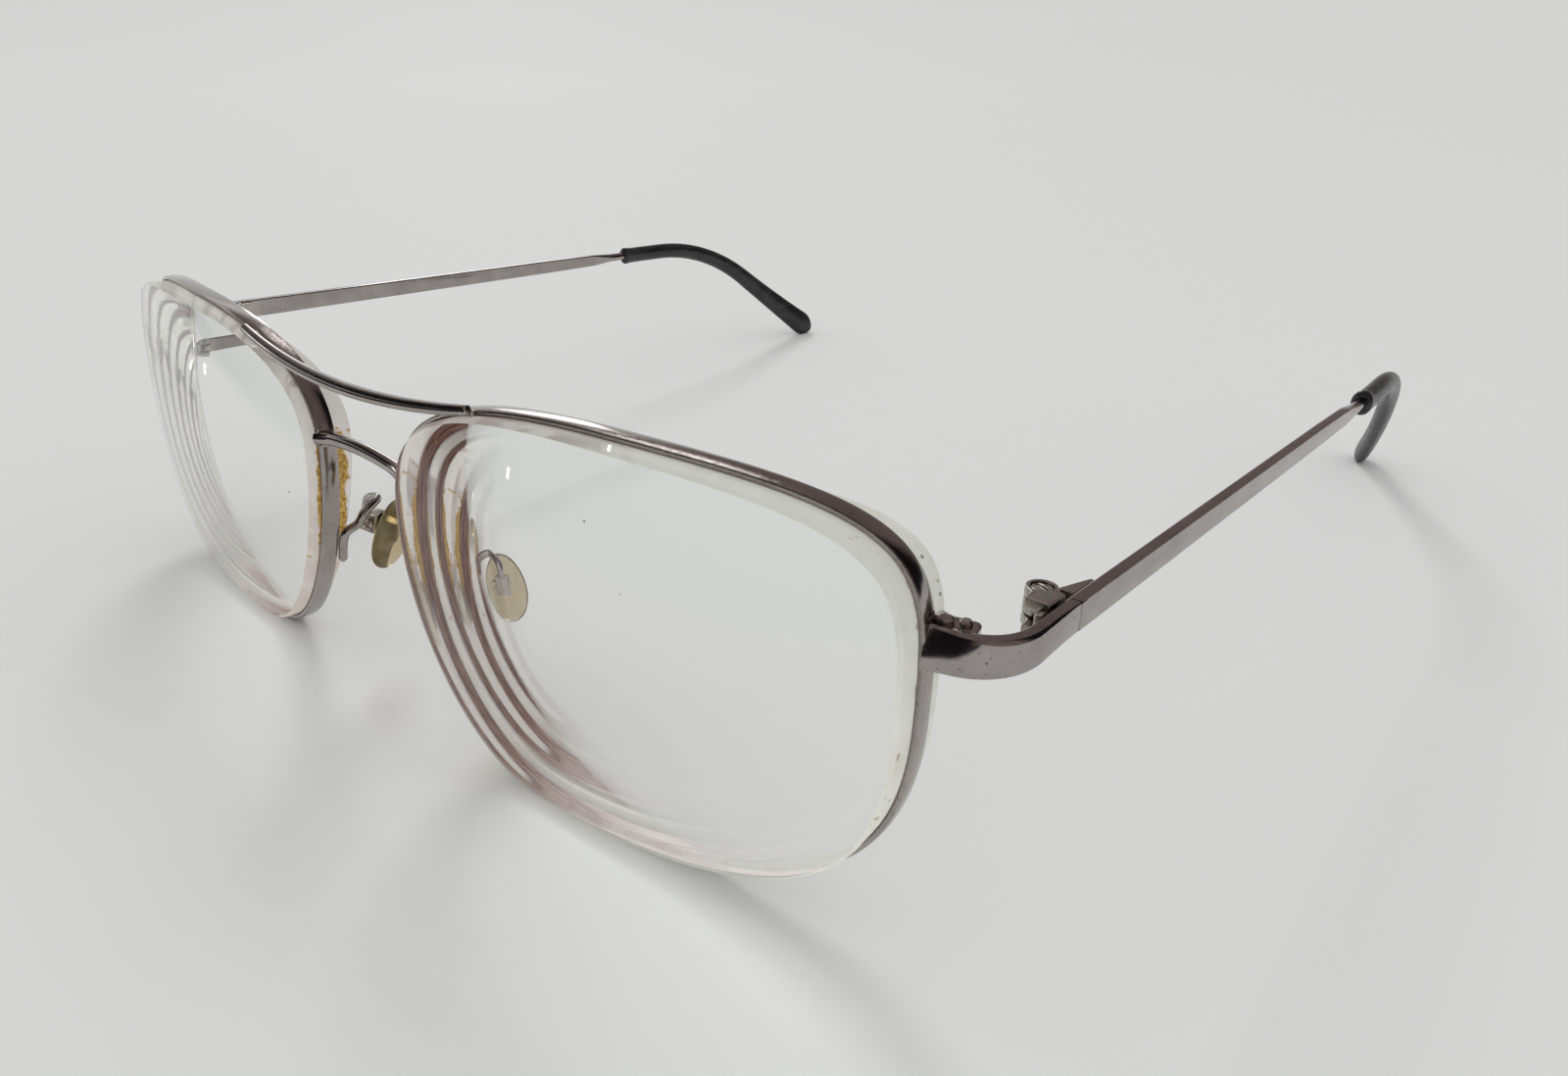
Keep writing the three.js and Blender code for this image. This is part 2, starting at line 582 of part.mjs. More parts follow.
function makeTempleLeaf() {
  const start = hingeY + BARREL_RADIUS + RUNNING_GAP;
  const end = start + TEMPLE_LEAF_LENGTH;
  const wedge = new THREE.Shape();
  wedge.moveTo(leafOuter, start);
  wedge.lineTo(leafOuter, end);
  wedge.lineTo(leafOuter - LEAF_WEDGE.toe, end);
  wedge.lineTo(leafOuter - LEAF_WEDGE.heel, start);
  const plate = new THREE.ExtrudeGeometry(wedge, { depth: LEAF_TALL, bevelEnabled: false })
    .translate(0, 0, END_HEIGHT - LEAF_TALL / 2);
  const arm = block(vec(hingeX, hingeY, middleLow), vec(leafOuter, start + LEAF_THICK, middleHigh));
  const knuckle = post(BARREL_RADIUS, hingeX, hingeY, middleLow, middleHigh);
  return cut(join(plate, arm, knuckle), post(hingeBore, hingeX, hingeY, barrelLow, barrelHigh));
}

function makeHingeScrew() {
  const seat = barrelHigh - SCREW_HEAD_TALL + SCREW_GAP;
  const top = barrelHigh - SCREW_GAP;
  return join(
    post(HINGE_SCREW_RADIUS, hingeX, hingeY, barrelLow, (seat + top) / 2),
    post(hingeHead, hingeX, hingeY, seat, top),
  );
}

// Temple and tip share one path: level, then an even bend down, then a straight tail

const tipStart = seamY + TEMPLE_LENGTH;
const bendLength = TIP_BEND * TIP_DROP;
const tipLength = TIP_STRAIGHT + bendLength + TIP_TAIL;

function tipStation(run) {
  const turn = THREE.MathUtils.clamp((run - TIP_STRAIGHT) / TIP_BEND, 0, TIP_DROP);
  const before = Math.min(run, TIP_STRAIGHT);
  const after = Math.max(0, run - TIP_STRAIGHT - bendLength);
  const back = before + TIP_BEND * Math.sin(turn) + after * Math.cos(turn);
  const down = TIP_BEND * (1 - Math.cos(turn)) + after * Math.sin(turn);
  const inset = TIP_INSET * (Math.max(0, run) / tipLength) ** 2;
  return {
    centre: vec(stripX - inset, tipStart + back, END_HEIGHT - down),
    across: vec(1, 0, 0),
    up: vec(0, Math.sin(turn), Math.cos(turn)),
  };
}

// Ring of an oval section across that path
function oval(run, thick, tall, sides) {
  const { centre, across, up } = tipStation(run);
  return Array.from({ length: sides }, (_, k) => {
    const angle = (2 * Math.PI * (k + 0.5)) / sides;
    return centre.clone()
      .addScaledVector(across, (thick / 2) * Math.cos(angle))
      .addScaledVector(up, (tall / 2) * Math.sin(angle));
  });
}

const round = (run, radius) => oval(run, 2 * radius, 2 * radius, WIRE_SIDES);
const coreStops = (end) => Array.from({ length: CORE_STEPS + 1 }, (_, k) => (end * k) / CORE_STEPS);

function makeTemple() {
  const strip = [
    [RUNNING_GAP, STRIP_TALL], [TEMPLE_LENGTH - 2 * NECK_LENGTH, TEMPLE_TALL_BACK],
    [TEMPLE_LENGTH - NECK_LENGTH, NECK_TALL],
  ].map(([run, tall]) =>
    oblong(vec(stripX, seamY + run, END_HEIGHT), vec(1, 0, 0), vec(0, 0, 1), STRIP_THICK, tall, STRIP_EDGE));
  const core = coreStops(tipLength - CORE_SHORT).map((run) => round(run, CORE_RADIUS));
  return skin([...strip, round(-NECK_STUB, NECK_RADIUS), ...core]);
}

function makeTip() {
  const paddleRun = tipLength - TIP_ROUND;
  const rings = [
    oval(0, TIP_MOUTH.thick, TIP_MOUTH.tall, TIP_SIDES),
    oval(TIP_COLLAR.at, TIP_COLLAR.thick, TIP_COLLAR.tall, TIP_SIDES),
  ];
  for (let k = 1; k <= TIP_STEPS; k += 1) {
    const share = k / TIP_STEPS;
    const tall = THREE.MathUtils.lerp(TIP_TALL, TIP_PADDLE, share ** 3);
    rings.push(oval(paddleRun * share, TIP_THICK, tall, TIP_SIDES));
  }
  for (const angle of TIP_END_ANGLES) {
    const turn = THREE.MathUtils.degToRad(angle);
    const run = paddleRun + TIP_ROUND * Math.sin(turn);
    rings.push(oval(run, TIP_THICK * Math.sqrt(Math.cos(turn)), TIP_PADDLE * Math.cos(turn), TIP_SIDES));
  }
  const endPole = tipStation(tipLength).centre;
  const boreStops = [-CUT_PAST, ...coreStops(tipLength - CORE_SHORT + RUNNING_GAP)];
  const bore = skin(boreStops.map((run) => round(run, CORE_RADIUS + RUNNING_GAP)));
  return cut(skin(rings, { endPole }), bore);
}

// Nose pad: local frame with the pivot at 0, +X across the pad, +Y up it, +Z to the nose

const padShare = shareAtHeight(-PAD_LOW, topToBottom, topToNose);
const padEdge = outlineAt(padShare).point;
const lensBackAtPad = onRim(padShare, -lensIn, backDepth(padEdge.x, padEdge.y)).y;
const padFrame = new THREE.Matrix4();
{
  const face = vec(-Math.cos(PAD_SPLAY), Math.sin(PAD_SPLAY), -Math.sin(PAD_FLARE)).normalize();
  const wide = vec(0, 0, 1).cross(face).normalize();
  const long = face.clone().cross(wide);
  padFrame.makeBasis(wide, long, face).setPosition(PAD_HALF_SPACING, lensBackAtPad + PAD_BEHIND, -PAD_LOW);
}

const boxHalf = LUG_THICK / 2 + RUNNING_GAP + BOX_WALL;
const boxFloor = LUG_TALL / 2 + RUNNING_GAP;

function makePad() {
  const rings = PAD_PROFILE.map(([grow, share]) => Array.from({ length: PAD_SIDES }, (_, k) => {
    const angle = (2 * Math.PI * k) / PAD_SIDES;
    const half = (PAD_WIDTH / 2) * (1 - PAD_TAPER * Math.sin(angle));
    const [x, y] = [grow * half * Math.cos(angle), grow * (PAD_LENGTH / 2) * Math.sin(angle)];
    return vec(x, y - PAD_DROP, PAD_OFF + share * PAD_THICK);
  }));
  const [slotX, slotY] = [LUG_THICK / 2 + SCREW_GAP, LUG_TALL / 2 + SCREW_GAP];
  const slot = block(vec(-slotX, -slotY, PAD_OFF - CUT_PAST), vec(slotX, slotY, PAD_OFF + PAD_SLOT));
  return cut(skin(rings), slot).applyMatrix4(padFrame);
}

function makePadLug() {
  const profile = new THREE.Shape();
  const half = LUG_TALL / 2;
  const tail = PAD_OFF + PAD_SLOT - SCREW_GAP;
  profile.moveTo(tail, -half);
  profile.lineTo(tail, half);
  profile.lineTo(0, half);
  profile.absarc(0, 0, half, Math.PI / 2, (3 * Math.PI) / 2);
  const hole = new THREE.Path();
  hole.absarc(0, 0, PAD_SCREW_RADIUS + SCREW_GAP, 0, 2 * Math.PI, true);
  profile.holes.push(hole);
  const options = { depth: LUG_THICK, bevelEnabled: false, curveSegments: CORNER_STEPS };
  const lug = new THREE.ExtrudeGeometry(profile, options);
  return lug.translate(0, 0, -LUG_THICK / 2).rotateY(-Math.PI / 2).applyMatrix4(padFrame);
}

function makePadBox() {
  const half = BOX_TALL / 2;
  const low = -boxFloor - BOX_WALL;
  const whole = block(vec(-boxHalf, -half, low), vec(boxHalf, half, BOX_LIP));
  const inside = block(
    vec(-boxHalf + BOX_WALL, -half - CUT_PAST, -boxFloor),
    vec(boxHalf - BOX_WALL, half + CUT_PAST, BOX_LIP + CUT_PAST),
  );
  const bore = pin(PAD_SCREW_RADIUS + SCREW_GAP, -boxHalf - CUT_PAST, boxHalf + CUT_PAST);
  return cut(whole, inside, bore).applyMatrix4(padFrame);
}

function makePadScrew() {
  const seat = boxHalf + SCREW_GAP;
  const shank = pin(PAD_SCREW_RADIUS, -seat, seat + SCREW_HEAD_TALL / 2);
  return join(shank, pin(PAD_SCREW_HEAD, seat, seat + SCREW_HEAD_TALL)).applyMatrix4(padFrame);
}

// Pad arm: a wire with its foot along the back of the rim, arched over to the back of the box

function makePadArm() {
  const nasal = (climb) => shareAtHeight(climb - ARM_FOOT_LOW, topToBottom, (1 + topToBottom) / 2);
  const clear = ARM_RADIUS + SOLDER;
  const foot = [0, ARM_FOOT].map((climb) => onRim(nasal(climb), ARM_OUT, RIM_DEPTH + clear));
  const [beside, behind] = ARM_CLIMB.map((climb) => nasal(ARM_FOOT + climb));
  const edge = outlineAt(behind).point;
  const edgeDepth = backDepth(edge.x, edge.y);
  const pass = [onRim(beside, ARM_OUT, edgeDepth), onRim(behind, 0, edgeDepth + clear)];
  const wall = -boxFloor - BOX_WALL / 2;
  const seat = BOX_TALL / 2 + SOLDER;
  const end = vec(0, seat, wall).applyMatrix4(padFrame);
  const leg = vec(0, seat + ARM_LEG, wall).applyMatrix4(padFrame);
  const top = leg.clone().add(vec(-ARM_ARCH.nose, -ARM_ARCH.front, ARM_ARCH.up));
  const curve = new THREE.CatmullRomCurve3([...foot, ...pass, top, leg, end]);
  return wire(curve, ARM_RADIUS, ARM_STEPS, WIRE_SIDES);
}

// Assembly

const glasses = new THREE.Group();

function add(name, geometry, material) {
  const mesh = new THREE.Mesh(geometry, material);
  mesh.name = name;
  glasses.add(mesh);
}

function addPair(name, geometry, material) {
  add(`left_${name}`, geometry, material);
  add(`right_${name}`, mirrored(geometry), material);
}

add('brow_bar', makeBrowBar(), gunmetal);
add('bridge', makeBridge(), gunmetal);
addPair('rim', makeRim(), gunmetal);
addPair('lens', makeLens(), glass);
addPair('end_piece', makeEndPiece(), gunmetal);
addPair('closing_block_upper', makeClosingBlock(RIM_SPLIT / 2, RIM_SPLIT / 2 + BLOCK_TALL), gunmetal);
addPair('closing_block_lower', makeClosingBlock(-RIM_SPLIT / 2 - BLOCK_TALL, -RIM_SPLIT / 2), gunmetal);
addPair('closing_screw', makeClosingScrew(), steel);
addPair('hinge_front_leaf', makeFrontLeaf(), steel);
addPair('hinge_temple_leaf', makeTempleLeaf(), steel);
addPair('hinge_screw', makeHingeScrew(), steel);
addPair('temple', makeTemple(), gunmetal);
addPair('temple_tip', makeTip(), black);
addPair('pad_arm', makePadArm(), gunmetal);
addPair('pad_box', makePadBox(), steel);
addPair('pad_screw', makePadScrew(), steel);
addPair('pad_lug', makePadLug(), steel);
addPair('nose_pad', makePad(), silicone);

// Lean the glasses back until the rims and the tips touch one level table

const MOST_LEAN = THREE.MathUtils.degToRad(20);

function lowest(name, lean) {
  const box = new THREE.Box3();
  const turned = glasses.getObjectByName(name).geometry.clone().rotateX(-lean);
  box.setFromBufferAttribute(turned.attributes.position);
  return box.min.z;
}

const tipIsHigher = (lean) => lowest('left_temple_tip', lean) > lowest('left_rim', lean);
glasses.rotation.x = -turningPoint(-MOST_LEAN, MOST_LEAN, tipIsHigher);
const box = new THREE.Box3().setFromObject(glasses, true);
const centre = box.getCenter(vec(0, 0, 0));
glasses.position.set(-centre.x, -centre.y, -box.min.z);

const spectacles = new THREE.Group();
spectacles.add(glasses);
export default spectacles;
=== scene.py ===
# %% [markdown]
# # Dressing a pair of aviator eyeglasses
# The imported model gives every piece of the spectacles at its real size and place, but as flat
# facets. This lesson lays a smooth surface over each piece, gives it the finish that the real one
# has, and lights it on a pale table. Each surface is a formula on a grid, worked out with numpy.

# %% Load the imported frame
import json
import math

import bpy
import numpy as np
from mathutils import Matrix


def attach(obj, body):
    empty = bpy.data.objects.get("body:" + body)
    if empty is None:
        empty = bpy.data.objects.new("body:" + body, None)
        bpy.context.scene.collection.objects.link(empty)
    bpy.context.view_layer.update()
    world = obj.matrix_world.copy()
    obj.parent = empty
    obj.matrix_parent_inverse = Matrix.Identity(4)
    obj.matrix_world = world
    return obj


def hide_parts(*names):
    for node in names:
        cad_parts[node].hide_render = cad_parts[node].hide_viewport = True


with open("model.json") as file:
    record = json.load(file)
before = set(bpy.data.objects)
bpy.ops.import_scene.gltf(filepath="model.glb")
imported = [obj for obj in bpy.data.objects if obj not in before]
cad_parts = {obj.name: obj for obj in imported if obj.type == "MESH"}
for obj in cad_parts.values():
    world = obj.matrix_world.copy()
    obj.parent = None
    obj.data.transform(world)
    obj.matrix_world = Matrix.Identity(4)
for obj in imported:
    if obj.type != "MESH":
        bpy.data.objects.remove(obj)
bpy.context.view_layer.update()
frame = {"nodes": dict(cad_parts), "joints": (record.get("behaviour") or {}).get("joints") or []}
joints = {joint["name"]: joint for joint in frame["joints"]}

# %% [markdown]
# ## Surfaces on grids
# A grid of points is a surface: each row is a section, and the rows follow a path. Quads join
# neighbours, a looped side joins its last line to its first, and an open end is closed by a flat
# cap or drawn to a pole. The sign of the enclosed volume tells whether the faces point outwards.

# %% Grid to mesh
MM = 0.001


def unit(vectors):
    """Vectors scaled to length one."""
    vectors = np.asarray(vectors, float)
    return vectors / np.linalg.norm(vectors, axis=-1, keepdims=True)


def grid_faces(rows, columns, loop_rows):
    """Quads between neighbouring rows and columns of a grid whose columns run round in a loop."""
    r, c = np.meshgrid(np.arange(rows if loop_rows else rows - 1), np.arange(columns), indexing="ij")
    next_r, next_c = (r + 1) % rows, (c + 1) % columns
    corners = [r * columns + c, r * columns + next_c, next_r * columns + next_c, next_r * columns + c]
    return np.stack(corners, -1).reshape(-1, 4)


def shell(grid, loop_rows=False, poles=(None, None)):
    """Closed surface over a grid whose columns run round each section. Open ends get a pole or a cap."""
    rows, columns = grid.shape[:2]
    points = grid.reshape(-1, 3)
    faces = grid_faces(rows, columns, loop_rows).tolist()
    ring = np.arange(columns)
    ends = [] if loop_rows else [(ring[::-1], poles[0]), ((rows - 1) * columns + ring, poles[1])]
    for line, pole in ends:
        if pole is None:
            faces.append(line.tolist())
        else:
            tip = np.full(columns, len(points))
            points = np.vstack([points, pole])
            faces += np.stack([line, np.roll(line, -1), tip], -1).tolist()
    return points, faces


def volume(points, faces):
    """Enclosed volume: the sum of a sixth of the triple product over each face's fan of triangles."""
    fans = [[face[0], face[k], face[k + 1]] for face in faces for k in range(1, len(face) - 1)]
    a, b, c = np.moveaxis(points[np.array(fans)], 1, 0)
    return np.einsum("ij,ij->", a, np.cross(b, c)) / 6


# %% [markdown]
# ## Rim outline
# All sizes are millimetres in the spectacles' own frame: lens centres at height 0, the front
# upright, temples level, +X to the wearer's left and +Y back along the temples. The real rim is bent
# from wire to a soft, slightly drooping shape. Four cubic curves run between its highest, outermost,
# lowest and innermost points. A table of close points gives places by their share of the whole
# length, so that sections are evenly spaced.

# %% Outline curves
RIM_WIDTH, RIM_HEIGHT = 57.0, 39.0
TOP_AT, BOTTOM_AT = 0.0, -9.0  # sideways places of the highest and lowest points
TEMPORAL_AT, NASAL_AT = 2.5, 6.5  # heights of the outermost and innermost points
TOP_PULL, BOTTOM_PULL = (28.0, 25.0), (27.0, 10.5)  # curve handles, temporal side then nasal side
TEMPORAL_PULL, NASAL_PULL = (13.3, 16.5), (6.0, 12.0)  # up, then down


def cubic(points, t):
    """Bezier curve: the four points weighted by (1-t)^3, 3t(1-t)^2, 3t^2(1-t) and t^3."""
    t = np.asarray(t)[:, None]
    a, b, c, d = np.asarray(points, float)
    return a * (1 - t) ** 3 + 3 * b * t * (1 - t) ** 2 + 3 * c * t**2 * (1 - t) + d * t**3


half_w, half_h = RIM_WIDTH / 2, RIM_HEIGHT / 2
outline_curves = [
    [(TOP_AT, half_h), (TOP_AT + TOP_PULL[0], half_h),
     (half_w, TEMPORAL_AT + TEMPORAL_PULL[0]), (half_w, TEMPORAL_AT)],
    [(half_w, TEMPORAL_AT), (half_w, TEMPORAL_AT - TEMPORAL_PULL[1]),
     (BOTTOM_AT + BOTTOM_PULL[0], -half_h), (BOTTOM_AT, -half_h)],
    [(BOTTOM_AT, -half_h), (BOTTOM_AT - BOTTOM_PULL[1], -half_h),
     (-half_w, NASAL_AT - NASAL_PULL[1]), (-half_w, NASAL_AT)],
    [(-half_w, NASAL_AT), (-half_w, NASAL_AT + NASAL_PULL[0]),
     (TOP_AT - TOP_PULL[1], half_h), (TOP_AT, half_h)],
]
print("outline:", len(outline_curves), "curves")

# %% Outline table
CURVE_POINTS = 1200  # on each curve
SEARCH_STEPS = 4000  # places tried along a stretch of the outline

curve_t = np.linspace(0, 1, CURVE_POINTS, endpoint=False)
table_points = np.vstack([cubic(curve, curve_t) for curve in outline_curves])
table_steps = np.linalg.norm(np.roll(table_points, -1, 0) - table_points, axis=1)
outline_length = table_steps.sum()
table_shares = np.concatenate([[0], np.cumsum(table_steps)[:-1]]) / outline_length
table_tangents = unit(np.roll(table_points, -1, 0) - np.roll(table_points, 1, 0))
top_to_bottom = table_shares[2 * CURVE_POINTS]
top_to_nose = (1 + top_to_bottom) / 2


def outline(share):
    """Points of the outline and its outward normals at shares of the way round, from the top."""
    share = np.asarray(share, float)
    columns = np.hstack([table_points, table_tangents]).T
    x, y, tx, ty = (np.interp(share, table_shares, column, period=1) for column in columns)
    return np.stack([x, y], -1), unit(np.stack([-ty, tx], -1))


def share_at_height(height, start, stop):
    """Share between start and stop where the outline passes a height."""
    shares = np.linspace(start, stop, SEARCH_STEPS)
    return shares[np.argmin(np.abs(outline(shares)[0][:, 1] - height))]


print("outline length", round(float(outline_length), 1), "mm")

# %% [markdown]
# ## Surfaces that the rim and lens follow
# A lens is cut from two spheres: a shallow front and a deep back, which is what makes the edge of
# a strong minus lens so thick. The rim follows the front sphere, and both turn back at the temple.
# The lens stands proud of the rim, a little more at the temple than at the nose.

# %% Lens space
RIM_GAP = 15.9  # between the rims at the nose
WRAP = math.radians(7.3)  # each lens turns back this far at the temple
FRONT_RADIUS, BACK_RADIUS, CENTRE_THICK = 143.0, 58.0, 1.7
OPTICAL_CENTRE = (-2.0, 0.5)
LENS_PROUD, LENS_TILT = 1.75, 0.027
LENS_X = RIM_GAP / 2 + RIM_WIDTH / 2 * math.cos(WRAP)


def sag(radius, side, up):
    """Depth of a sphere's cap: radius minus the root of radius^2 - side^2 - up^2."""
    return radius - np.sqrt(radius**2 - side**2 - up**2)


def on_lens(side, up, depth):
    """Point sideways and up from the lens centre, depth behind the rim's front sphere, turned by the wrap."""
    back = depth + sag(FRONT_RADIUS, side, up)
    x = LENS_X + side * math.cos(WRAP) - back * math.sin(WRAP)
    y = side * math.sin(WRAP) + back * math.cos(WRAP)
    return np.stack(np.broadcast_arrays(x, y, up), -1)


def on_rim(share, out, depth):
    """Point out from the rim's outer edge along the outline's normal, and back from its front."""
    point, normal = outline(share)
    away = np.stack([normal[..., 0] * math.cos(WRAP), normal[..., 0] * math.sin(WRAP), normal[..., 1]], -1)
    return on_lens(point[..., 0], point[..., 1], depth) + away * np.asarray(out)[..., None]


def front_depth(side):
    """Depth of the lens's front: ahead of the rim by a fixed length and a slope to the side."""
    return -LENS_PROUD - LENS_TILT * side


def back_depth(side, up):
    """Depth of the lens's back: front depth + centre thickness + back cap - front cap."""
    cap = sag(BACK_RADIUS, side - OPTICAL_CENTRE[0], up - OPTICAL_CENTRE[1])
    return front_depth(side) + CENTRE_THICK + cap - sag(FRONT_RADIUS, side, up)


print("lens centres", round(2 * LENS_X, 1), "mm apart")

# %% [markdown]
# ## Standing on the table
# The spectacles lean back a little, so that rims and tips share one table. The lean is that of the
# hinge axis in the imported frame, and the hinge's place tells how far the model is shifted.

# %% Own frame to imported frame
SOLDER, RUNNING_GAP, SCREW_GAP = 0.15, 0.2, 0.1  # films and clearances
END_HEIGHT, END_DROP = 9.3, 0.5  # hinge above the lens centre, and the rim's end of the strip below that
END_REACH, END_BACK, STRIP_THICK = 5.6, 11.3, 1.2
LEAF_THICK, BARREL_RADIUS, HINGE_BACK = 0.65, 1.3, 0.15

split_height = END_HEIGHT - END_DROP
split_share = share_at_height(split_height, 0, top_to_bottom)
rim_side = on_rim(split_share, 0.0, 0.0)
strip_x, seam_y = rim_side[0] + END_REACH, rim_side[1] + END_BACK
leaf_outer = strip_x - STRIP_THICK / 2 - SOLDER
hinge = np.array([leaf_outer - LEAF_THICK - BARREL_RADIUS, seam_y - HINGE_BACK, END_HEIGHT])
LEAN = math.atan2(joints["left_fold"]["axis"][1], joints["left_fold"]["axis"][2])


def turned(points, angle):
    """Points turned about X: y cos + z sin, z cos - y sin."""
    x, y, z = np.moveaxis(np.asarray(points, float), -1, 0)
    cos, sin = math.cos(angle), math.sin(angle)
    return np.stack([x, y * cos + z * sin, z * cos - y * sin], -1)


SHIFT = np.array(joints["left_fold"]["pos_m"]) / MM - turned(hinge, LEAN)


def stand(points):
    """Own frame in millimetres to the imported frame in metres: leaned, then shifted."""
    return (turned(points, LEAN) + SHIFT) * MM


def own(place):
    """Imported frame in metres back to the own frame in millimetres."""
    return turned(np.asarray(place) / MM - SHIFT, -LEAN)


print("lean", round(math.degrees(LEAN), 2), "degrees, shift", np.round(SHIFT, 3))

# %% [markdown]
# ## Pieces
# One function makes a piece: it mirrors the left shape for the right side, stands it on the table,
# turns its faces outwards, marks sharp edges by angle, and hands it to its body. A number called
# wear rides on each point, 1 along the edges of a section, so that a finish can thin out there.

# %% Objects and attributes
def add_object(name, data):
    """Object for a mesh, lamp or camera, linked to the scene."""
    thing = bpy.data.objects.new(name, data)
    bpy.context.scene.collection.objects.link(thing)
    return thing


def add_attribute(mesh, name, values):
    """Numbers, or rows of three numbers, that ride on a mesh's points."""
    kind, field = ("FLOAT_VECTOR", "vector") if np.ndim(values) == 2 else ("FLOAT", "value")
    mesh.attributes.new(name, kind, "POINT").data.foreach_set(field, np.ravel(values).astype("f"))


# %% Piece maker
SHARP = math.radians(28)
SIDES = (("left", 1), ("right", -1))
made = {}


def add_piece(name, shells, materials, body, sign=1, place=None):
    """Mesh object from shells of (points, faces, wear, material index), mirrored in X where sign is -1."""
    points, faces, wear, slots = [], [], [], []
    for shell_points, shell_faces, shell_wear, index in shells:
        placed = stand(shell_points * np.array([sign, 1, 1]))
        flip = volume(placed, shell_faces) < 0
        start = sum(len(p) for p in points)
        faces += [[start + k for k in (face[::-1] if flip else face)] for face in shell_faces]
        slots += list(index) if np.ndim(index) else [index] * len(shell_faces)
        wear.append(np.broadcast_to(shell_wear, len(placed)))
        points.append(placed)
    mesh = bpy.data.meshes.new(name)
    mesh.from_pydata(np.vstack(points).tolist(), [], faces)
    for material in materials:
        mesh.materials.append(material)
    mesh.polygons.foreach_set("material_index", np.array(slots, np.int32))
    add_attribute(mesh, "wear", np.concatenate(wear))
    if place is not None:
        add_attribute(mesh, "place", place)
    mesh.shade_smooth()
    mesh.set_sharp_from_angle(angle=SHARP)
    mesh.validate()
    mesh.update()
    piece = add_object(name, mesh)
    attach(piece, body)
    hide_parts(name)
    made[name] = len(faces)
    return piece


def add_pair(name, shells, materials, body, place=None):
    """Left piece and its mirror image, named as their nodes; body is front or the word after the side."""
    pair = []
    for side, sign in SIDES:
        rides = body if body == "front" else f"{side}_{body}"
        pair.append(add_piece(f"{side}_{name}", shells, materials, rides, sign, place))
    print(name, "left and right:", made[f"left_{name}"], "faces each")
    return pair


# %% [markdown]
# ## Sections
# Strips, wires and plates share a few sections. Corners are rounded by a curve from the point where
# each side is cut to the next, and the wear of a section is 1 on those curves.

# %% Sections
CORNER_STEPS = 5


def rounded(corners, cuts):
    """Closed outline with each corner replaced by a quadratic curve that starts and ends at its cut."""
    corners = np.asarray(corners, float)
    cuts = np.broadcast_to(np.asarray(cuts, float), len(corners))[:, None]
    before = corners + unit(np.roll(corners, 1, 0) - corners) * cuts
    after = corners + unit(np.roll(corners, -1, 0) - corners) * cuts
    t = np.linspace(0, 1, CORNER_STEPS)[None, :, None]
    curve = before[:, None] * (1 - t) ** 2 + 2 * corners[:, None] * t * (1 - t) + after[:, None] * t**2
    return curve.reshape(-1, 2)


def corner_wear(corners):
    """Wear of a rounded outline: highest in the middle of each corner's curve."""
    return np.tile(np.sin(np.linspace(0, math.pi, CORNER_STEPS)), corners)


def box_outline(width, height, cut):
    """Rounded rectangle round the origin."""
    w, h = width / 2, height / 2
    return rounded([(w, h), (-w, h), (-w, -h), (w, -h)], cut)


def circle(radius, sides):
    """Round outline."""
    angle = np.linspace(0, 2 * math.pi, sides, endpoint=False)
    return radius * np.stack([np.cos(angle), np.sin(angle)], -1)


# %% [markdown]
# ## Sweeps, plates and screws
# A sweep carries a section along a path. A plate is an outline with height, drawn in at both faces
# by a quarter circle so that its edges catch light, and it may have a stepped round bore. A screw
# is turned, and its slot is pressed into the grid of its head. Solder sets in drops, which are balls
# with ripples.

# %% Sweeps and plates
EDGE_STEPS = 6  # rows of a quarter-round edge


def sweep(centres, across, up, sections):
    """Sections carried along a path: centre + across * first coordinate + up * second coordinate."""
    sections = np.broadcast_to(sections, (len(centres), *np.shape(sections)[-2:]))
    across = np.broadcast_to(across, centres.shape)[:, None]
    up = np.broadcast_to(up, centres.shape)[:, None]
    return centres[:, None] + sections[..., :1] * across + sections[..., 1:] * up


def plate(shape, low, high, edge, bore=()):
    """Outline extruded from low to high with quarter-round edges; bore lists (radius, height) downwards."""
    shape = np.asarray(shape, float)
    tangent = np.roll(shape, -1, 0) - np.roll(shape, 1, 0)
    area = np.sum(shape[:, 0] * np.roll(shape[:, 1], -1) - shape[:, 1] * np.roll(shape[:, 0], -1))
    inward = unit(np.stack([-tangent[:, 1], tangent[:, 0]], -1)) * np.sign(area)
    turn = np.linspace(0, math.pi / 2, EDGE_STEPS)
    drawn = edge * np.concatenate([1 - np.sin(turn), (1 - np.sin(turn))[::-1]])
    height = np.concatenate([low + edge * (1 - np.cos(turn)), (high - edge * (1 - np.cos(turn)))[::-1]])
    flat = shape[None] + inward[None] * drawn[:, None, None]
    level = np.broadcast_to(height[:, None, None], (*flat.shape[:2], 1))
    grid = np.concatenate([flat, level], -1)
    wear = np.concatenate([np.sin(2 * turn), np.sin(2 * turn)[::-1], np.zeros(len(bore))])
    if bore:
        angle = np.arctan2(shape[:, 1], shape[:, 0])
        round_wall = np.stack([np.cos(angle), np.sin(angle), np.zeros_like(angle)], -1)
        rings = np.array([round_wall * radius + (0, 0, at) for radius, at in bore])
        grid = np.vstack([grid, rings])
    return grid, np.repeat(wear, len(shape)), bool(bore)


def plate_shell(shape, low, high, edge, at=(0, 0, 0), bore=(), finish=0):
    """Shell of a plate moved to a place."""
    grid, wear, loop = plate(shape, low, high, edge, bore)
    return (*shell(grid + np.asarray(at), loop_rows=loop), wear, finish)


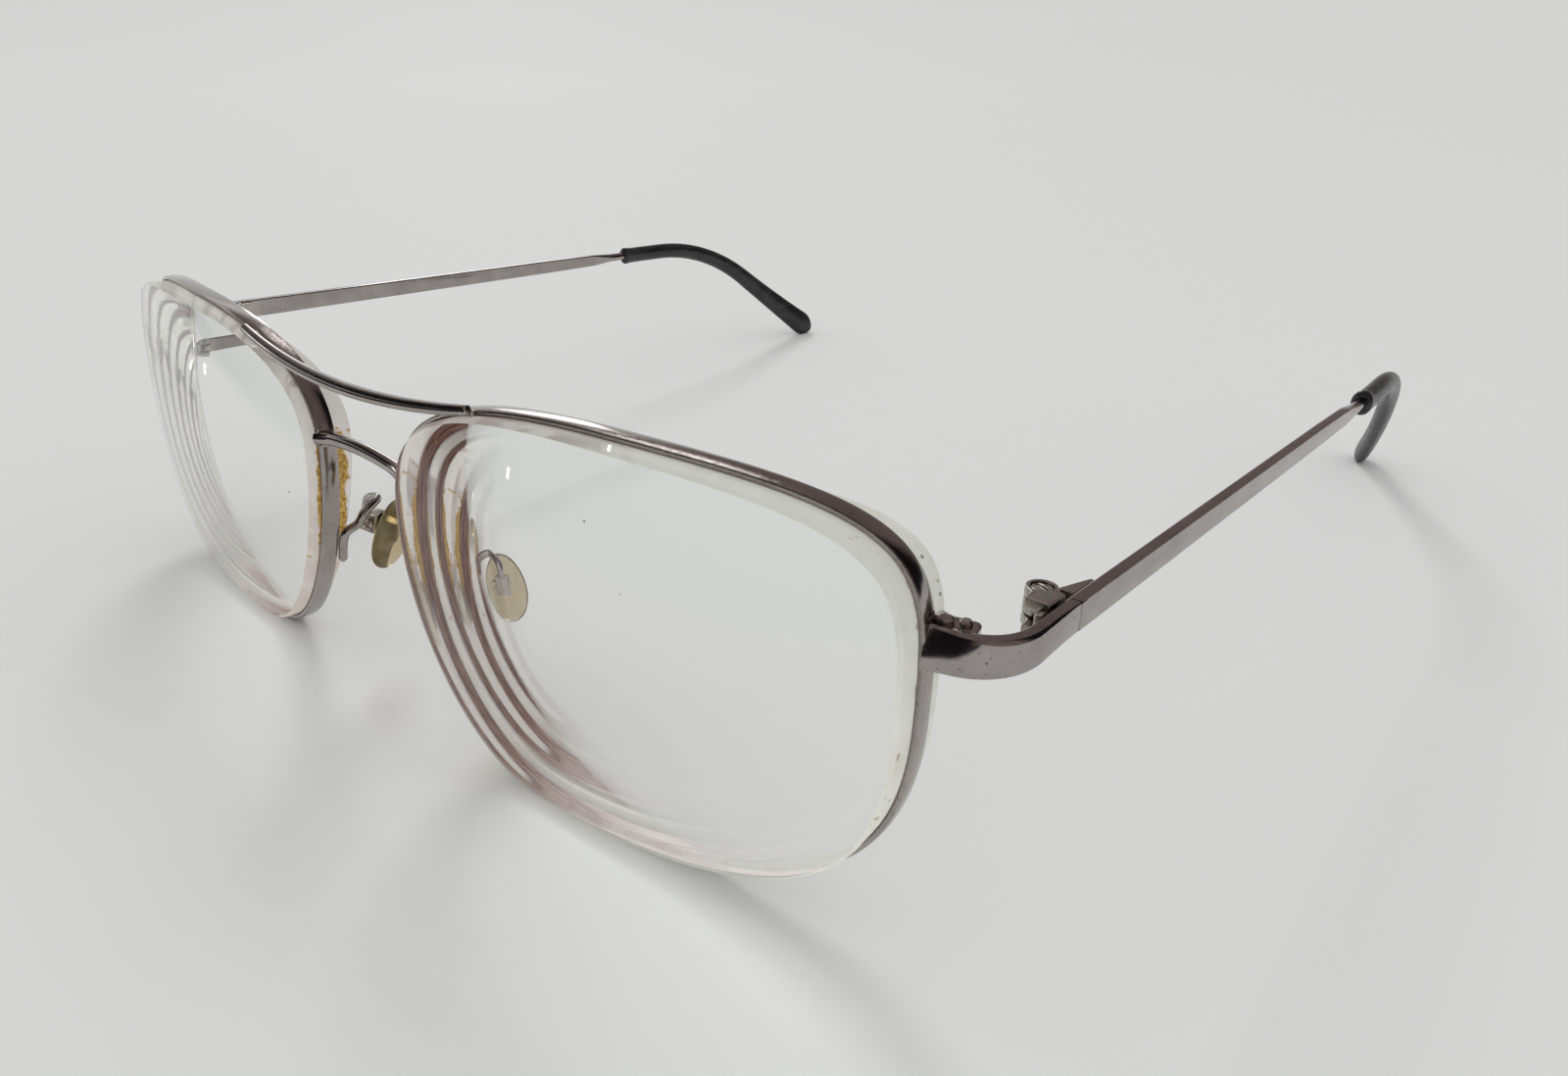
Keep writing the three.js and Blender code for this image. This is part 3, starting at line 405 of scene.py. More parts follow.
# %% Screws and solder
SCREW_SIDES, SCREW_RINGS, SCREW_WEAR = 64, 18, 0.3
SHANK_TIP = (0.7, 0.3)  # radius and length of a shank's narrow end, in shank radii
HEAD_ROUND, HEAD_DOME = 0.4, 0.08  # shares of the head's height and of its radius
SLOT_SOFT = 0.08  # slope of a slot's sides, as a share of its width
DROP_ROWS, DROP_SIDES, DROP_WEAR = 22, 39, 0.6


def turned_screw(shank, head, start, seat, top, slot_width, slot_depth, slot_turn=0.4):
    """Screw along Z: shank, head with a rounded edge and domed face, and a slot sunk across that face."""
    edge = HEAD_ROUND * abs(top - seat)
    toward = math.copysign(1, top - seat)
    turn = np.linspace(0, math.pi / 2, EDGE_STEPS)
    face = np.linspace(1, 0.02, SCREW_RINGS)[1:]
    radius = np.array([
        SHANK_TIP[0] * shank, shank, shank, head, *(head - edge * (1 - np.cos(turn))),
        *((head - edge) * face),
    ])
    height = np.array([
        start, start + toward * SHANK_TIP[1] * shank, seat, seat,
        *(top - toward * edge * (1 - np.sin(turn))), *(top + toward * HEAD_DOME * head * (1 - face**2)),
    ])
    angle = np.linspace(0, 2 * math.pi, SCREW_SIDES, endpoint=False)
    x, y = radius[:, None] * np.cos(angle), radius[:, None] * np.sin(angle)
    across = np.abs(x * math.sin(slot_turn) + y * math.cos(slot_turn))
    past_side = (across - slot_width / 2) / (SLOT_SOFT * slot_width)
    sunk = slot_depth / (1 + np.exp(np.clip(past_side, -40, 40)))
    slot_from = 4 + EDGE_STEPS // 2  # row in the middle of the rounded edge
    on_face = (np.arange(len(radius)) >= slot_from)[:, None]
    z = height[:, None] - toward * sunk * on_face
    poles = (np.array([0, 0, start]), np.array([0, 0, z[-1].mean()]))
    points, faces = shell(np.stack([x, y, z], -1), poles=poles)
    return points, faces, SCREW_WEAR, 0


def solder_drop(centre, radii, ripple, finish=0):
    """Set drop of solder: a sphere stretched by three radii and swollen by a few sine ripples."""
    polar = np.linspace(0, math.pi, DROP_ROWS)[1:-1, None]
    around = np.linspace(0, 2 * math.pi, DROP_SIDES, endpoint=False)[None]
    swell = 1 + 0.1 * np.sin(3 * around + ripple) * np.sin(2 * polar) + 0.07 * np.cos(5 * polar + 2 * ripple)
    ball = np.stack(np.broadcast_arrays(
        np.sin(polar) * np.cos(around), np.sin(polar) * np.sin(around), np.cos(polar),
    ), -1)
    centre, radii = np.asarray(centre, float), np.asarray(radii, float)
    poles = (centre + (0, 0, radii[2]), centre - (0, 0, radii[2]))
    return (*shell(centre + ball * swell[..., None] * radii, poles=poles), DROP_WEAR, finish)


# %% [markdown]
# ## Node helpers
# Every finish is a small graph of nodes. These helpers add a node in one line, so that a finish
# reads like a recipe. Patterns sit on Object coordinates, which are metres on these pieces.

# %% Node helpers
def new_material(name):
    """Node material, its tree and its Principled shader."""
    material = bpy.data.materials.new(name)
    material.use_nodes = True
    return material, material.node_tree, material.node_tree.nodes["Principled BSDF"]


def set_inputs(tree, node, **inputs):
    """Inputs by name with underscores for spaces, or _number: a value to set or a socket to link."""
    for key, value in inputs.items():
        socket = node.inputs[int(key[1:])] if key[0] == "_" else node.inputs[key.replace("_", " ")]
        if isinstance(value, bpy.types.NodeSocket):
            tree.links.new(value, socket)
        else:
            socket.default_value = value


def add_node(tree, kind, settings=None, **inputs):
    """Node with its settings and inputs."""
    node = tree.nodes.new(kind)
    for key, value in (settings or {}).items():
        setattr(node, key, value)
    set_inputs(tree, node, **inputs)
    return node


# %% Steps of a recipe
def remap(tree, value, low, high, to_low=0.0, to_high=1.0):
    """Value stretched from one range to another and clamped."""
    node = add_node(tree, "ShaderNodeMapRange", _0=value, _1=low, _2=high, _3=to_low, _4=to_high)
    return node.outputs["Result"]


def blend_colour(tree, factor, first, second):
    """Mix of two colours by a factor; each may be a socket."""
    a, b = (end if isinstance(end, bpy.types.NodeSocket) else (*end, 1) for end in (first, second))
    return add_node(tree, "ShaderNodeMix", {"data_type": "RGBA"}, _0=factor, _6=a, _7=b).outputs[2]


def attribute(tree, name, output="Fac"):
    """A number or vector that rides on the mesh's points."""
    return add_node(tree, "ShaderNodeAttribute", {"attribute_name": name}).outputs[output]


def maths(tree, operation, first, second=0.0):
    """One arithmetic step."""
    return add_node(tree, "ShaderNodeMath", {"operation": operation}, _0=first, _1=second).outputs["Value"]


def times(tree, first, second):
    """Product of two numbers."""
    return maths(tree, "MULTIPLY", first, second)


def mix_shaders(tree, factor, first, second):
    """Mix of two shaders; the second at factor 1."""
    return add_node(tree, "ShaderNodeMixShader", _0=factor, _1=first, _2=second).outputs["Shader"]


def show(tree, surface):
    """The shader that the surface shows."""
    tree.links.new(surface, tree.nodes["Material Output"].inputs["Surface"])


# %% Pattern helpers
def object_place(tree):
    """Object coordinates."""
    return add_node(tree, "ShaderNodeTexCoord").outputs["Object"]


def noise(tree, scale, detail=2.0, stretch=(1, 1, 1), roughness=0.5, place=None):
    """Noise on Object coordinates, in features per metre, or on another place, stretched along the axes."""
    mapped = add_node(tree, "ShaderNodeMapping", Vector=place or object_place(tree), Scale=stretch)
    return add_node(
        tree, "ShaderNodeTexNoise", Vector=mapped.outputs["Vector"], Scale=scale, Detail=detail,
        Roughness=roughness,
    ).outputs["Fac"]


def clouded(tree, scale, detail, first, second):
    """Two colours in soft clouds."""
    return blend_colour(tree, remap(tree, noise(tree, scale, detail), 0.35, 0.65), first, second)


def specks(tree, place, scale, size, kept):
    """Round specks in the middle of some cells of a cell pattern, picked by the cells' random colours."""
    cells = add_node(tree, "ShaderNodeTexVoronoi", Vector=place, Scale=scale)
    pick = add_node(tree, "ShaderNodeSeparateColor", Color=cells.outputs["Color"]).outputs[0]
    return times(tree, remap(tree, cells.outputs["Distance"], *size, 1, 0), remap(tree, pick, *kept))


def lamps_through(tree, surface, colour):
    """The surface, see-through in a colour for rays on their way to a lamp."""
    clear = add_node(tree, "ShaderNodeBsdfTransparent", Color=(*colour, 1)).outputs["BSDF"]
    to_lamp = add_node(tree, "ShaderNodeLightPath").outputs["Is Shadow Ray"]
    return mix_shaders(tree, to_lamp, surface, clear)


def bump(tree, shader, height, strength, distance):
    """Fine relief on a shader's normal."""
    node = add_node(tree, "ShaderNodeBump", Height=height, Strength=strength, Distance=distance)
    set_inputs(tree, shader, Normal=node.outputs["Normal"])


# %% [markdown]
# ## Metals
# The frame is plated in a dark, warm grey and polished. On the real one the plating is thinner
# along edges, dulled by fine rubbing, and pitted in places. A plain metal colour would look like
# plastic wrap, so colour and roughness vary by noise at two scales, a very fine bump breaks up
# reflections, and wear lightens the edges. Hinges, boxes and solder are bare metal, tarnished, with
# a little green bloom where sweat has sat.

# %% Plated gunmetal
def gunmetal_finish():
    """Polished dark plating: cloudy tone, lighter worn edges, pits, roughness broken by rubbing marks."""
    material, tree, shader = new_material("gunmetal")
    rubbed = noise(tree, 2600, 4)
    tone = clouded(tree, 260, 3, (0.345, 0.31, 0.30), (0.41, 0.375, 0.362))
    worn = times(tree, attribute(tree, "wear"), remap(tree, rubbed, 0.42, 0.64))
    colour = blend_colour(tree, times(tree, worn, 0.55), tone, (0.62, 0.59, 0.56))
    pits = remap(tree, noise(tree, 4200, 1), 0.7, 0.76)
    set_inputs(
        tree, shader, Base_Color=blend_colour(tree, pits, colour, (0.08, 0.075, 0.06)), Metallic=1,
        Roughness=remap(tree, rubbed, 0.3, 0.7, 0.09, 0.17),
    )
    bump(tree, shader, noise(tree, 9000, 2), 0.02, 0.00002)
    return material


gunmetal = gunmetal_finish()
print("gunmetal:", len(gunmetal.node_tree.nodes), "nodes")


# %% Bare steel
def steel_finish():
    """Bare metal of hinges and screws: brighter, duller, with tarnish and a little green bloom in patches."""
    material, tree, shader = new_material("steel")
    fine = noise(tree, 5200, 3)
    cloudy = clouded(tree, 300, 2, (0.42, 0.385, 0.34), (0.52, 0.485, 0.44))
    tone = blend_colour(tree, times(tree, attribute(tree, "wear"), 0.5), cloudy, (0.70, 0.68, 0.64))
    bloom = remap(tree, noise(tree, 300, 2), 0.58, 0.72)
    set_inputs(
        tree, shader, Base_Color=blend_colour(tree, times(tree, bloom, 0.6), tone, (0.13, 0.165, 0.12)),
        Metallic=remap(tree, bloom, 0, 1, 1, 0.8), Roughness=remap(tree, fine, 0.3, 0.7, 0.2, 0.26),
    )
    bump(tree, shader, fine, 0.01, 0.00002)
    return material


steel = steel_finish()
print("steel:", len(steel.node_tree.nodes), "nodes")

# %% [markdown]
# ## Lens finishes
# A lens is polished on both faces and ground on its edge. The faces are true glass with the index of
# a thin high-index lens, so the rings that a strong minus lens shows come from rays that bounce
# between its faces until they meet the edge. Lamps have to reach that edge through the glass, so
# for their rays the faces are see-through. Dust sits on the faces, and the coating's reflection is
# faintly pink. The edge is pale and cloudy where it stands clear of the rim. Inside the rim a painted
# reflection of the wire's dark groove lies on it in streaks, brown near the nose and pale rose towards
# the temple, where the pale rose is also painted light for the light that the rim keeps out. Dirt has
# set in a crust along both sides of the wire.

# %% Lens faces
LENS_INDEX = 1.6
LENS_COATING = (0.32, 0.18, 0.28, 1)  # tint of what a coated face still mirrors
LAMP_SHARE = (0.87, 0.875, 0.86)  # of a lamp's light that a lens face lets through


def lens_face_finish():
    """Clear coated glass that lets lamps through, with sparse dust."""
    material, tree, shader = new_material("lens_face")
    set_inputs(
        tree, shader, Base_Color=(0.985, 0.99, 0.98, 1), Transmission_Weight=1, IOR=LENS_INDEX, Roughness=0,
        Specular_Tint=LENS_COATING,
    )
    clear = lamps_through(tree, shader.outputs["BSDF"], LAMP_SHARE)
    speck = specks(tree, object_place(tree), 330.0, size=(0.03, 0.055), kept=(0.8, 0.84))
    dust = add_node(tree, "ShaderNodeBsdfDiffuse", Color=(0.2, 0.19, 0.17, 1)).outputs["BSDF"]
    show(tree, mix_shaders(tree, times(tree, speck, 0.75), clear, dust))
    return material


lens_face = lens_face_finish()
print("lens face: index", LENS_INDEX)

# %% Lens edge
RIM_DEPTH, RIM_THICK = 1.9, 0.5
HELD_SOFT = 0.06  # how far the rim's border on the edge is blurred
CRUST_AHEAD, CRUST_BEHIND = 0.7, (0.3, 1.9)  # reach of the crust in front of the wire and behind it


def lens_edge_finish():
    """Ground edge by its depth: pale outside the rim, painted groove reflection in streaks inside it, crust
    beside it.
    """
    material, tree, shader = new_material("lens_edge")
    place = attribute(tree, "place", "Vector")
    axes = add_node(tree, "ShaderNodeSeparateXYZ", Vector=place).outputs
    depth, nasal = axes["Y"], axes["Z"]
    cream = clouded(tree, 420, 3, (0.90, 0.905, 0.82), (0.96, 0.96, 0.91))
    pale = blend_colour(tree, nasal, cream, (0.84, 0.77, 0.73))
    streaks = noise(tree, 1.0, 5, stretch=(0.22, 2.4, 1), roughness=0.65, place=place)
    streak = remap(tree, streaks, 0.4, 0.6)
    # Painted reflection of the wire's groove inside the rim: dark brown streaks near the nose, pale rose
    # streaks towards the temple, the rose also painted light that makes up for the light the rim keeps out.
    brown = blend_colour(tree, streak, (0.16, 0.045, 0.028), (0.54, 0.325, 0.26))
    rose_groove_reflection = blend_colour(tree, streak, (0.83, 0.735, 0.725), (0.955, 0.915, 0.905))
    painted_groove_reflection = blend_colour(tree, nasal, rose_groove_reflection, brown)
    behind_front = remap(tree, depth, -HELD_SOFT, HELD_SOFT)
    before_back = remap(tree, depth, RIM_DEPTH - HELD_SOFT, RIM_DEPTH + HELD_SOFT, 1, 0)
    held = times(tree, behind_front, before_back)
    ahead = remap(tree, depth, -CRUST_AHEAD, 0.0)
    behind = remap(tree, depth, RIM_DEPTH + CRUST_BEHIND[0], RIM_DEPTH + CRUST_BEHIND[1], 1, 0)
    ragged = remap(tree, noise(tree, 560, 5, roughness=0.7), 0.3, 0.7, -0.35, 0.35)
    dots = specks(tree, place, 0.9, size=(0.14, 0.2), kept=(0.45, 0.5))
    dirty = attribute(tree, "wear")
    thick = maths(tree, "ADD", times(tree, dirty, maths(tree, "MINIMUM", ahead, behind)), ragged)
    spots = times(tree, dots, remap(tree, dirty, 0.15, 0.35, 0, 0.8))
    crust = maths(tree, "MAXIMUM", remap(tree, thick, 0.5, 0.62), spots)
    amber = clouded(tree, 3000, 2, (0.34, 0.18, 0.04), (0.74, 0.50, 0.15))
    dirt = blend_colour(tree, nasal, (0.20, 0.13, 0.06), amber)
    colour = blend_colour(tree, held, blend_colour(tree, crust, pale, dirt), painted_groove_reflection)
    set_inputs(tree, shader, Base_Color=colour, Roughness=0.6)
    through = add_node(tree, "ShaderNodeBsdfTranslucent", Color=colour).outputs["BSDF"]
    ground = mix_shaders(tree, remap(tree, held, 0, 1, 0.55, 0.1), shader.outputs["BSDF"], through)
    clear = add_node(tree, "ShaderNodeBsdfTransparent", Color=(0.97, 0.975, 0.94, 1)).outputs["BSDF"]
    open_share = times(tree, remap(tree, held, 0, 1, 0.3, 0), remap(tree, crust, 0, 1, 1, 0))
    show(tree, mix_shaders(tree, open_share, ground, clear))
    return material


lens_edge = lens_edge_finish()
print("lens edge:", len(lens_edge.node_tree.nodes), "nodes")

# %% [markdown]
# ## Plastics
# The tips are a smooth black moulding, dulled where hair and skin have rubbed it. The nose pads are
# soft and clear when new and turn amber with age. A flat amber colour would look like wood, so most of
# the pad refracts, and its colour comes from the depth that light crosses: pale through the face,
# dark amber along the pad. A satin skin with cloudy stains lies over it.

# %% Tips and pads
PAD_INDEX = 1.41
PAD_CLEAR = 0.72  # share of the pad that refracts, the rest is its skin
PAD_DENSITY = 260.0  # of the amber, per metre


def tip_finish():
    """Black moulding: fine rubbing marks in the gloss, a faint grey haze."""
    material, tree, shader = new_material("tip")
    haze = remap(tree, noise(tree, 700, 4, stretch=(1, 0.3, 1)), 0.4, 0.7)
    set_inputs(
        tree, shader, Base_Color=blend_colour(tree, haze, (0.012, 0.012, 0.013), (0.03, 0.03, 0.031)),
        Roughness=remap(tree, noise(tree, 3500, 3), 0.3, 0.7, 0.22, 0.4),
    )
    bump(tree, shader, noise(tree, 6000, 2), 0.06, 0.00003)
    return material


def pad_finish():
    """Aged soft pad: clear, amber by the depth that light crosses, stained in patches, satin outside."""
    material, tree, shader = new_material("pad")
    stain = remap(tree, noise(tree, 420, 3), 0.4, 0.62)
    set_inputs(
        tree, shader, Base_Color=blend_colour(tree, stain, (0.34, 0.25, 0.11), (0.70, 0.62, 0.40)),
        Roughness=remap(tree, noise(tree, 2500, 3), 0.3, 0.7, 0.12, 0.28),
    )
    bump(tree, shader, noise(tree, 1800, 2), 0.08, 0.00005)
    clear = add_node(
        tree, "ShaderNodeBsdfRefraction", Color=(0.97, 0.95, 0.88, 1), Roughness=0.08, IOR=PAD_INDEX
    ).outputs["BSDF"]
    inside = lamps_through(tree, clear, (0.82, 0.74, 0.52))
    show(tree, mix_shaders(tree, PAD_CLEAR, shader.outputs["BSDF"], inside))
    depth = add_node(tree, "ShaderNodeVolumeAbsorption", Color=(0.86, 0.70, 0.34, 1), Density=PAD_DENSITY)
    tree.links.new(depth.outputs["Volume"], tree.nodes["Material Output"].inputs["Volume"])
    return material


tip_black = tip_finish()
pad_amber = pad_finish()
print("plastics:", len(tip_black.node_tree.nodes), "and", len(pad_amber.node_tree.nodes), "nodes")

# %% [markdown]
# ## Rims
# Each rim is one wire with a groove inside, closed by the screw at the temple. Its outer face is
# gently crowned, which spreads a reflection into a soft gradient. A curve with a bevel object could
# draw it, but its section has to stay square to the front sphere, so the section is carried round
# the outline by the same formula that places the lens.

# %% Rims
RIM_SECTIONS, RIM_CROWN, CROWN_POINTS = 320, 0.12, 15
GROOVE_DEPTH, GROOVE_HALF, RIM_SPLIT = 0.22, 0.4, 0.25
RIM_CUTS = (0.08, 0.1, 0.03, 0.03, 0.03, 0.1, 0.08)  # rounding of the corners below

rim_corners = [
    (-RIM_CROWN, RIM_DEPTH), (-RIM_THICK, RIM_DEPTH), (-RIM_THICK, RIM_DEPTH / 2 + GROOVE_HALF),
    (-RIM_THICK + GROOVE_DEPTH, RIM_DEPTH / 2), (-RIM_THICK, RIM_DEPTH / 2 - GROOVE_HALF),
    (-RIM_THICK, 0), (-RIM_CROWN, 0),
]
crown_run = np.linspace(-0.9, 0.9, CROWN_POINTS)  # across the outer face; 1 is the corner
crown = np.column_stack([-RIM_CROWN * np.abs(crown_run) ** 2.6, RIM_DEPTH / 2 * (1 + crown_run)])
rim_section = np.vstack([rounded(rim_corners, RIM_CUTS), crown])
rim_wear = np.concatenate([corner_wear(len(rim_corners)), np.abs(crown_run) ** 8])
split_half = RIM_SPLIT / 2 / outline_length
rim_shares = split_share + np.linspace(split_half, 1 - split_half, RIM_SECTIONS)
rim_grid = on_rim(rim_shares[:, None], rim_section[None, :, 0], rim_section[None, :, 1])
add_pair("rim", [(*shell(rim_grid), np.tile(rim_wear, RIM_SECTIONS), 0)], [gunmetal], "front")

# %% [markdown]
# ## Lenses
# Rings of points shrink the outline towards the centre on the front and back spheres. An edge with a
# chamfer at both faces and a small bevel for the groove joins them. The faces and the edge are one
# closed surface with two finishes, so that rays pass through it as through solid glass.

# %% Lens grid
LENS_SECTIONS, LENS_RINGS, EDGE_ROWS = 640, 26, 10
LENS_GAP, LENS_CHAMFER, BACK_CHAMFER = 0.12, 0.3, 0.6
LENS_IN = RIM_THICK + LENS_GAP

lens_shares = np.linspace(0, 1, LENS_SECTIONS, endpoint=False)
lens_point, lens_normal = outline(lens_shares)
edge_outline = lens_point - LENS_IN * lens_normal
front_outline = edge_outline - LENS_CHAMFER * lens_normal
back_outline = edge_outline - BACK_CHAMFER * lens_normal
face_rings = np.sin(np.linspace(0, 1, LENS_RINGS + 1)[1:] * math.pi / 2)[:, None]  # closer near the edge
front_side, front_up = face_rings * front_outline[None, :, 0], face_rings * front_outline[None, :, 1]
back_side, back_up = face_rings[::-1] * back_outline[None, :, 0], face_rings[::-1] * back_outline[None, :, 1]
edge_front = front_depth(edge_outline[:, 0]) + LENS_CHAMFER
edge_back = back_depth(back_outline[:, 0], back_outline[:, 1]) - BACK_CHAMFER
bevel_half = GROOVE_HALF - LENS_GAP
bevel_start, bevel_end = RIM_DEPTH / 2 - bevel_half, RIM_DEPTH / 2 + bevel_half
edge_steps = np.linspace(0, 1, EDGE_ROWS)[:, None]
edge_depth = np.vstack([
    edge_front + (bevel_start - edge_front) * edge_steps,
    np.full((1, LENS_SECTIONS), RIM_DEPTH / 2),
    bevel_end + (edge_back - bevel_end) * edge_steps,
])
edge_out = np.full(len(edge_depth), -LENS_IN)
edge_out[EDGE_ROWS] += GROOVE_DEPTH - LENS_GAP / 2
lens_grid = np.vstack([
    on_lens(front_side, front_up, front_depth(front_side)),
    on_rim(lens_shares[None], edge_out[:, None], edge_depth),
    on_lens(back_side, back_up, back_depth(back_side, back_up)),
])
print("lens edge", np.round([(edge_back - edge_front).min(), (edge_back - edge_front).max()], 1), "mm thick")

# %% [markdown]
# ## Places on the lens edge
# The edge's finish needs to know where it is: how far along the outline, how deep behind the rim's
# front, and how near the nose. These three ride on the points as a vector called place. The wear of
# a lens is its dirt, thickest beside the nose pads and at the split of the rim, where sweat collects.

# %% Lenses
NASAL_SHARE, NASAL_SPREAD = 0.2, 20.0  # nearness to the nose at the lens centre, and mm for it to grow by 1
DIRT_NOSE, DIRT_TEMPLE = (-0.025, 0.045), (0.02, 0.07)  # shift from nose and split, width, in shares
DIRT_LEAST, DIRT_TEMPLE_SHARE = 0.12, 0.45

lens_poles = (on_lens(0.0, 0.0, front_depth(0.0)), on_lens(0.0, 0.0, back_depth(0.0, 0.0)))
lens_points, lens_faces = shell(lens_grid, poles=lens_poles)
row_finish = np.zeros(len(lens_grid) - 1, int)
row_finish[LENS_RINGS - 1:len(lens_grid) - LENS_RINGS] = 1
lens_finish = np.concatenate([np.repeat(row_finish, LENS_SECTIONS), np.zeros(2 * LENS_SECTIONS, int)])
row_depth = np.vstack([
    np.broadcast_to(edge_front - LENS_CHAMFER, (LENS_RINGS, LENS_SECTIONS)), edge_depth,
    np.broadcast_to(edge_back, (LENS_RINGS, LENS_SECTIONS)),
])
row_along = np.broadcast_to(lens_shares * outline_length, row_depth.shape)
nasal_side = np.clip(NASAL_SHARE - lens_point[:, 0] / NASAL_SPREAD, 0, 1)
row_nasal = np.broadcast_to(nasal_side, row_depth.shape)
lens_place = np.vstack([np.stack([row_along, row_depth, row_nasal], -1).reshape(-1, 3), np.zeros((2, 3))])
dirt_nose = np.exp(-(((lens_shares - top_to_nose - DIRT_NOSE[0]) / DIRT_NOSE[1]) ** 2))
dirt_temple = np.exp(-(((lens_shares - split_share - DIRT_TEMPLE[0]) / DIRT_TEMPLE[1]) ** 2))
dirt_along = np.clip(DIRT_LEAST + dirt_nose + DIRT_TEMPLE_SHARE * dirt_temple, 0, 1)
lens_wear = np.concatenate([np.tile(dirt_along, len(lens_grid)), [0, 0]])
lens_shell = (lens_points, lens_faces, lens_wear, lens_finish)
add_pair("lens", [lens_shell], [lens_face, lens_edge], "front", lens_place)

# %% [markdown]
# ## Brow bar
# A tapered round bar that dips between the rims, brazed to their upper front edges. A bar between
# two points would be a cylinder; this one is a circle carried along a bow, with blunt ends, and the
# solder that holds it has set in uneven drops.

# %% Brow bar
BAR_RADIUS, BAR_REACH = (0.68, 0.5), 20.7  # in the middle and at the ends; half length
BAR_DIP, BAR_CLEAR, BAR_BLUNT = 1.8, 1.0, 0.25
BAR_STEPS, BAR_SIDES = 161, 40
BAR_WORN, BAR_TIP = 0.93, 0.45  # share of its half length past which it is worn; size of its blunt end
# drops of solder: inwards from the end, down, radii, ripple
BAR_DROPS = ((0.5, 0.3, (0.75, 0.42, 0.34), 0.4), (1.9, 0.42, (0.6, 0.36, 0.3), 2.1))

bar_shares = np.linspace(top_to_nose, 1, SEARCH_STEPS)
bar_end = on_rim(bar_shares[np.argmin(np.abs(on_rim(bar_shares, 0.0, 0.0)[:, 0] - BAR_REACH))], 0.0, 0.0)
bar_low = bar_end[2] - BAR_DIP
bar_nose = on_rim(share_at_height(bar_low, top_to_nose, 1), 0.0, 0.0)
end_back, middle_back = bar_end[1] - SOLDER - BAR_RADIUS[1], bar_nose[1] - BAR_CLEAR - BAR_RADIUS[0]
blunt_turn = np.linspace(0, math.pi / 2, 8)[1:]
blunt_from = 1 - BAR_BLUNT / BAR_REACH
blunt_k = blunt_from + (1 - blunt_from) * np.sin(blunt_turn)
bar_k = np.concatenate([-blunt_k[::-1], np.linspace(-blunt_from, blunt_from, BAR_STEPS), blunt_k])
blunt = np.concatenate([np.cos(blunt_turn)[::-1], np.ones(BAR_STEPS), np.cos(blunt_turn)])
bar_middle, bar_side = np.array([0, middle_back, bar_low]), np.array([BAR_REACH, 0, 0])
bar_bow = np.array([0, end_back - middle_back, BAR_DIP])
bar_centres = bar_middle + bar_side * bar_k[:, None] + bar_bow * bar_k[:, None] ** 2
bar_along = unit(bar_side + bar_bow * 2 * bar_k[:, None])
bar_up = unit(np.cross(bar_along, (0, 1, 0)))
bar_radius = (BAR_RADIUS[0] + (BAR_RADIUS[1] - BAR_RADIUS[0]) * bar_k**2) * (BAR_TIP + (1 - BAR_TIP) * blunt)
bar_sections = bar_radius[:, None, None] * circle(1, BAR_SIDES)
bar_grid = sweep(bar_centres, np.cross(bar_up, bar_along), bar_up, bar_sections)
bar_wear = np.repeat(np.clip((np.abs(bar_k) - BAR_WORN) / (1 - BAR_WORN), 0, 1), BAR_SIDES)
bar_drops = [
    solder_drop((sign * (BAR_REACH - inwards), end_back + 0.3, bar_end[2] - down), radii, ripple, 1)
    for sign in (1, -1) for inwards, down, radii, ripple in BAR_DROPS
]
bar_shells = [(*shell(bar_grid), bar_wear, 0), *bar_drops]
add_piece("brow_bar", bar_shells, [gunmetal, steel], "front")
print("brow bar:", made["brow_bar"], "faces")

# %% [markdown]
# ## Bridge
# A thin arch between the nasal sides of the rims. It widens into a foot where it is brazed on, so
# its depth grows towards both ends along a smooth flare while its section stays a soft lozenge.

# %% Bridge
BRIDGE_TALL, BRIDGE_DEPTH, BRIDGE_FOOT, BRIDGE_AHEAD = 1.4, 1.1, 1.9, 0.45
BRIDGE_HEIGHT, BRIDGE_RISE, BRIDGE_FLARE = 8.7, 0.7, 2.2
BRIDGE_LET_IN, BRIDGE_SWELL, BRIDGE_STEPS = 0.25, 0.2, 121
SOFT_CUT = 0.46  # cut that makes a square of side 1 nearly round
# drops of solder at the feet: back, up, radii, ripple
BRIDGE_DROPS = ((-0.35, 0.85, (0.3, 0.42, 0.3), 1.0), (0.1, -0.8, (0.28, 0.5, 0.26), 2.6))

bridge_share = share_at_height(BRIDGE_HEIGHT, top_to_nose, 1)
bridge_foot = on_rim(bridge_share, SOLDER, RIM_DEPTH / 2 - BRIDGE_AHEAD)
foot_x = bridge_foot[0] + BRIDGE_LET_IN
bridge_k = np.linspace(-1, 1, BRIDGE_STEPS)
flare = np.clip(1 - (1 - np.abs(bridge_k)) * foot_x / BRIDGE_FLARE, 0, 1) ** 1.6
bridge_centres = np.stack(
    [bridge_k * foot_x, 0 * bridge_k + bridge_foot[1], BRIDGE_HEIGHT + BRIDGE_RISE * (1 - bridge_k**2)], -1
)
slope = np.arctan2(-2 * BRIDGE_RISE * bridge_k, foot_x) * (1 - flare)
bridge_across = np.stack([-math.tan(WRAP) * np.sign(bridge_k) * flare, 1 + 0 * flare, 0 * flare], -1)
bridge_up = np.stack([-np.sin(slope), 0 * slope, np.cos(slope)], -1)
bridge_outline = box_outline(1, 1, SOFT_CUT)
bridge_deep = BRIDGE_DEPTH + (BRIDGE_FOOT - BRIDGE_DEPTH) * flare
bridge_size = np.stack([bridge_deep, BRIDGE_TALL + BRIDGE_SWELL * flare], -1)
bridge_grid = sweep(bridge_centres, bridge_across, bridge_up, bridge_outline * bridge_size[:, None])
bridge_drops = [
    solder_drop((sign * (foot_x - 0.15), bridge_foot[1] + back, BRIDGE_HEIGHT + up), radii, ripple, 1)
    for sign in (1, -1) for back, up, radii, ripple in BRIDGE_DROPS
]
bridge_shells = [(*shell(bridge_grid), 0.15, 0), *bridge_drops]
add_piece("bridge", bridge_shells, [gunmetal, steel], "front")
print("bridge:", made["bridge"], "faces")

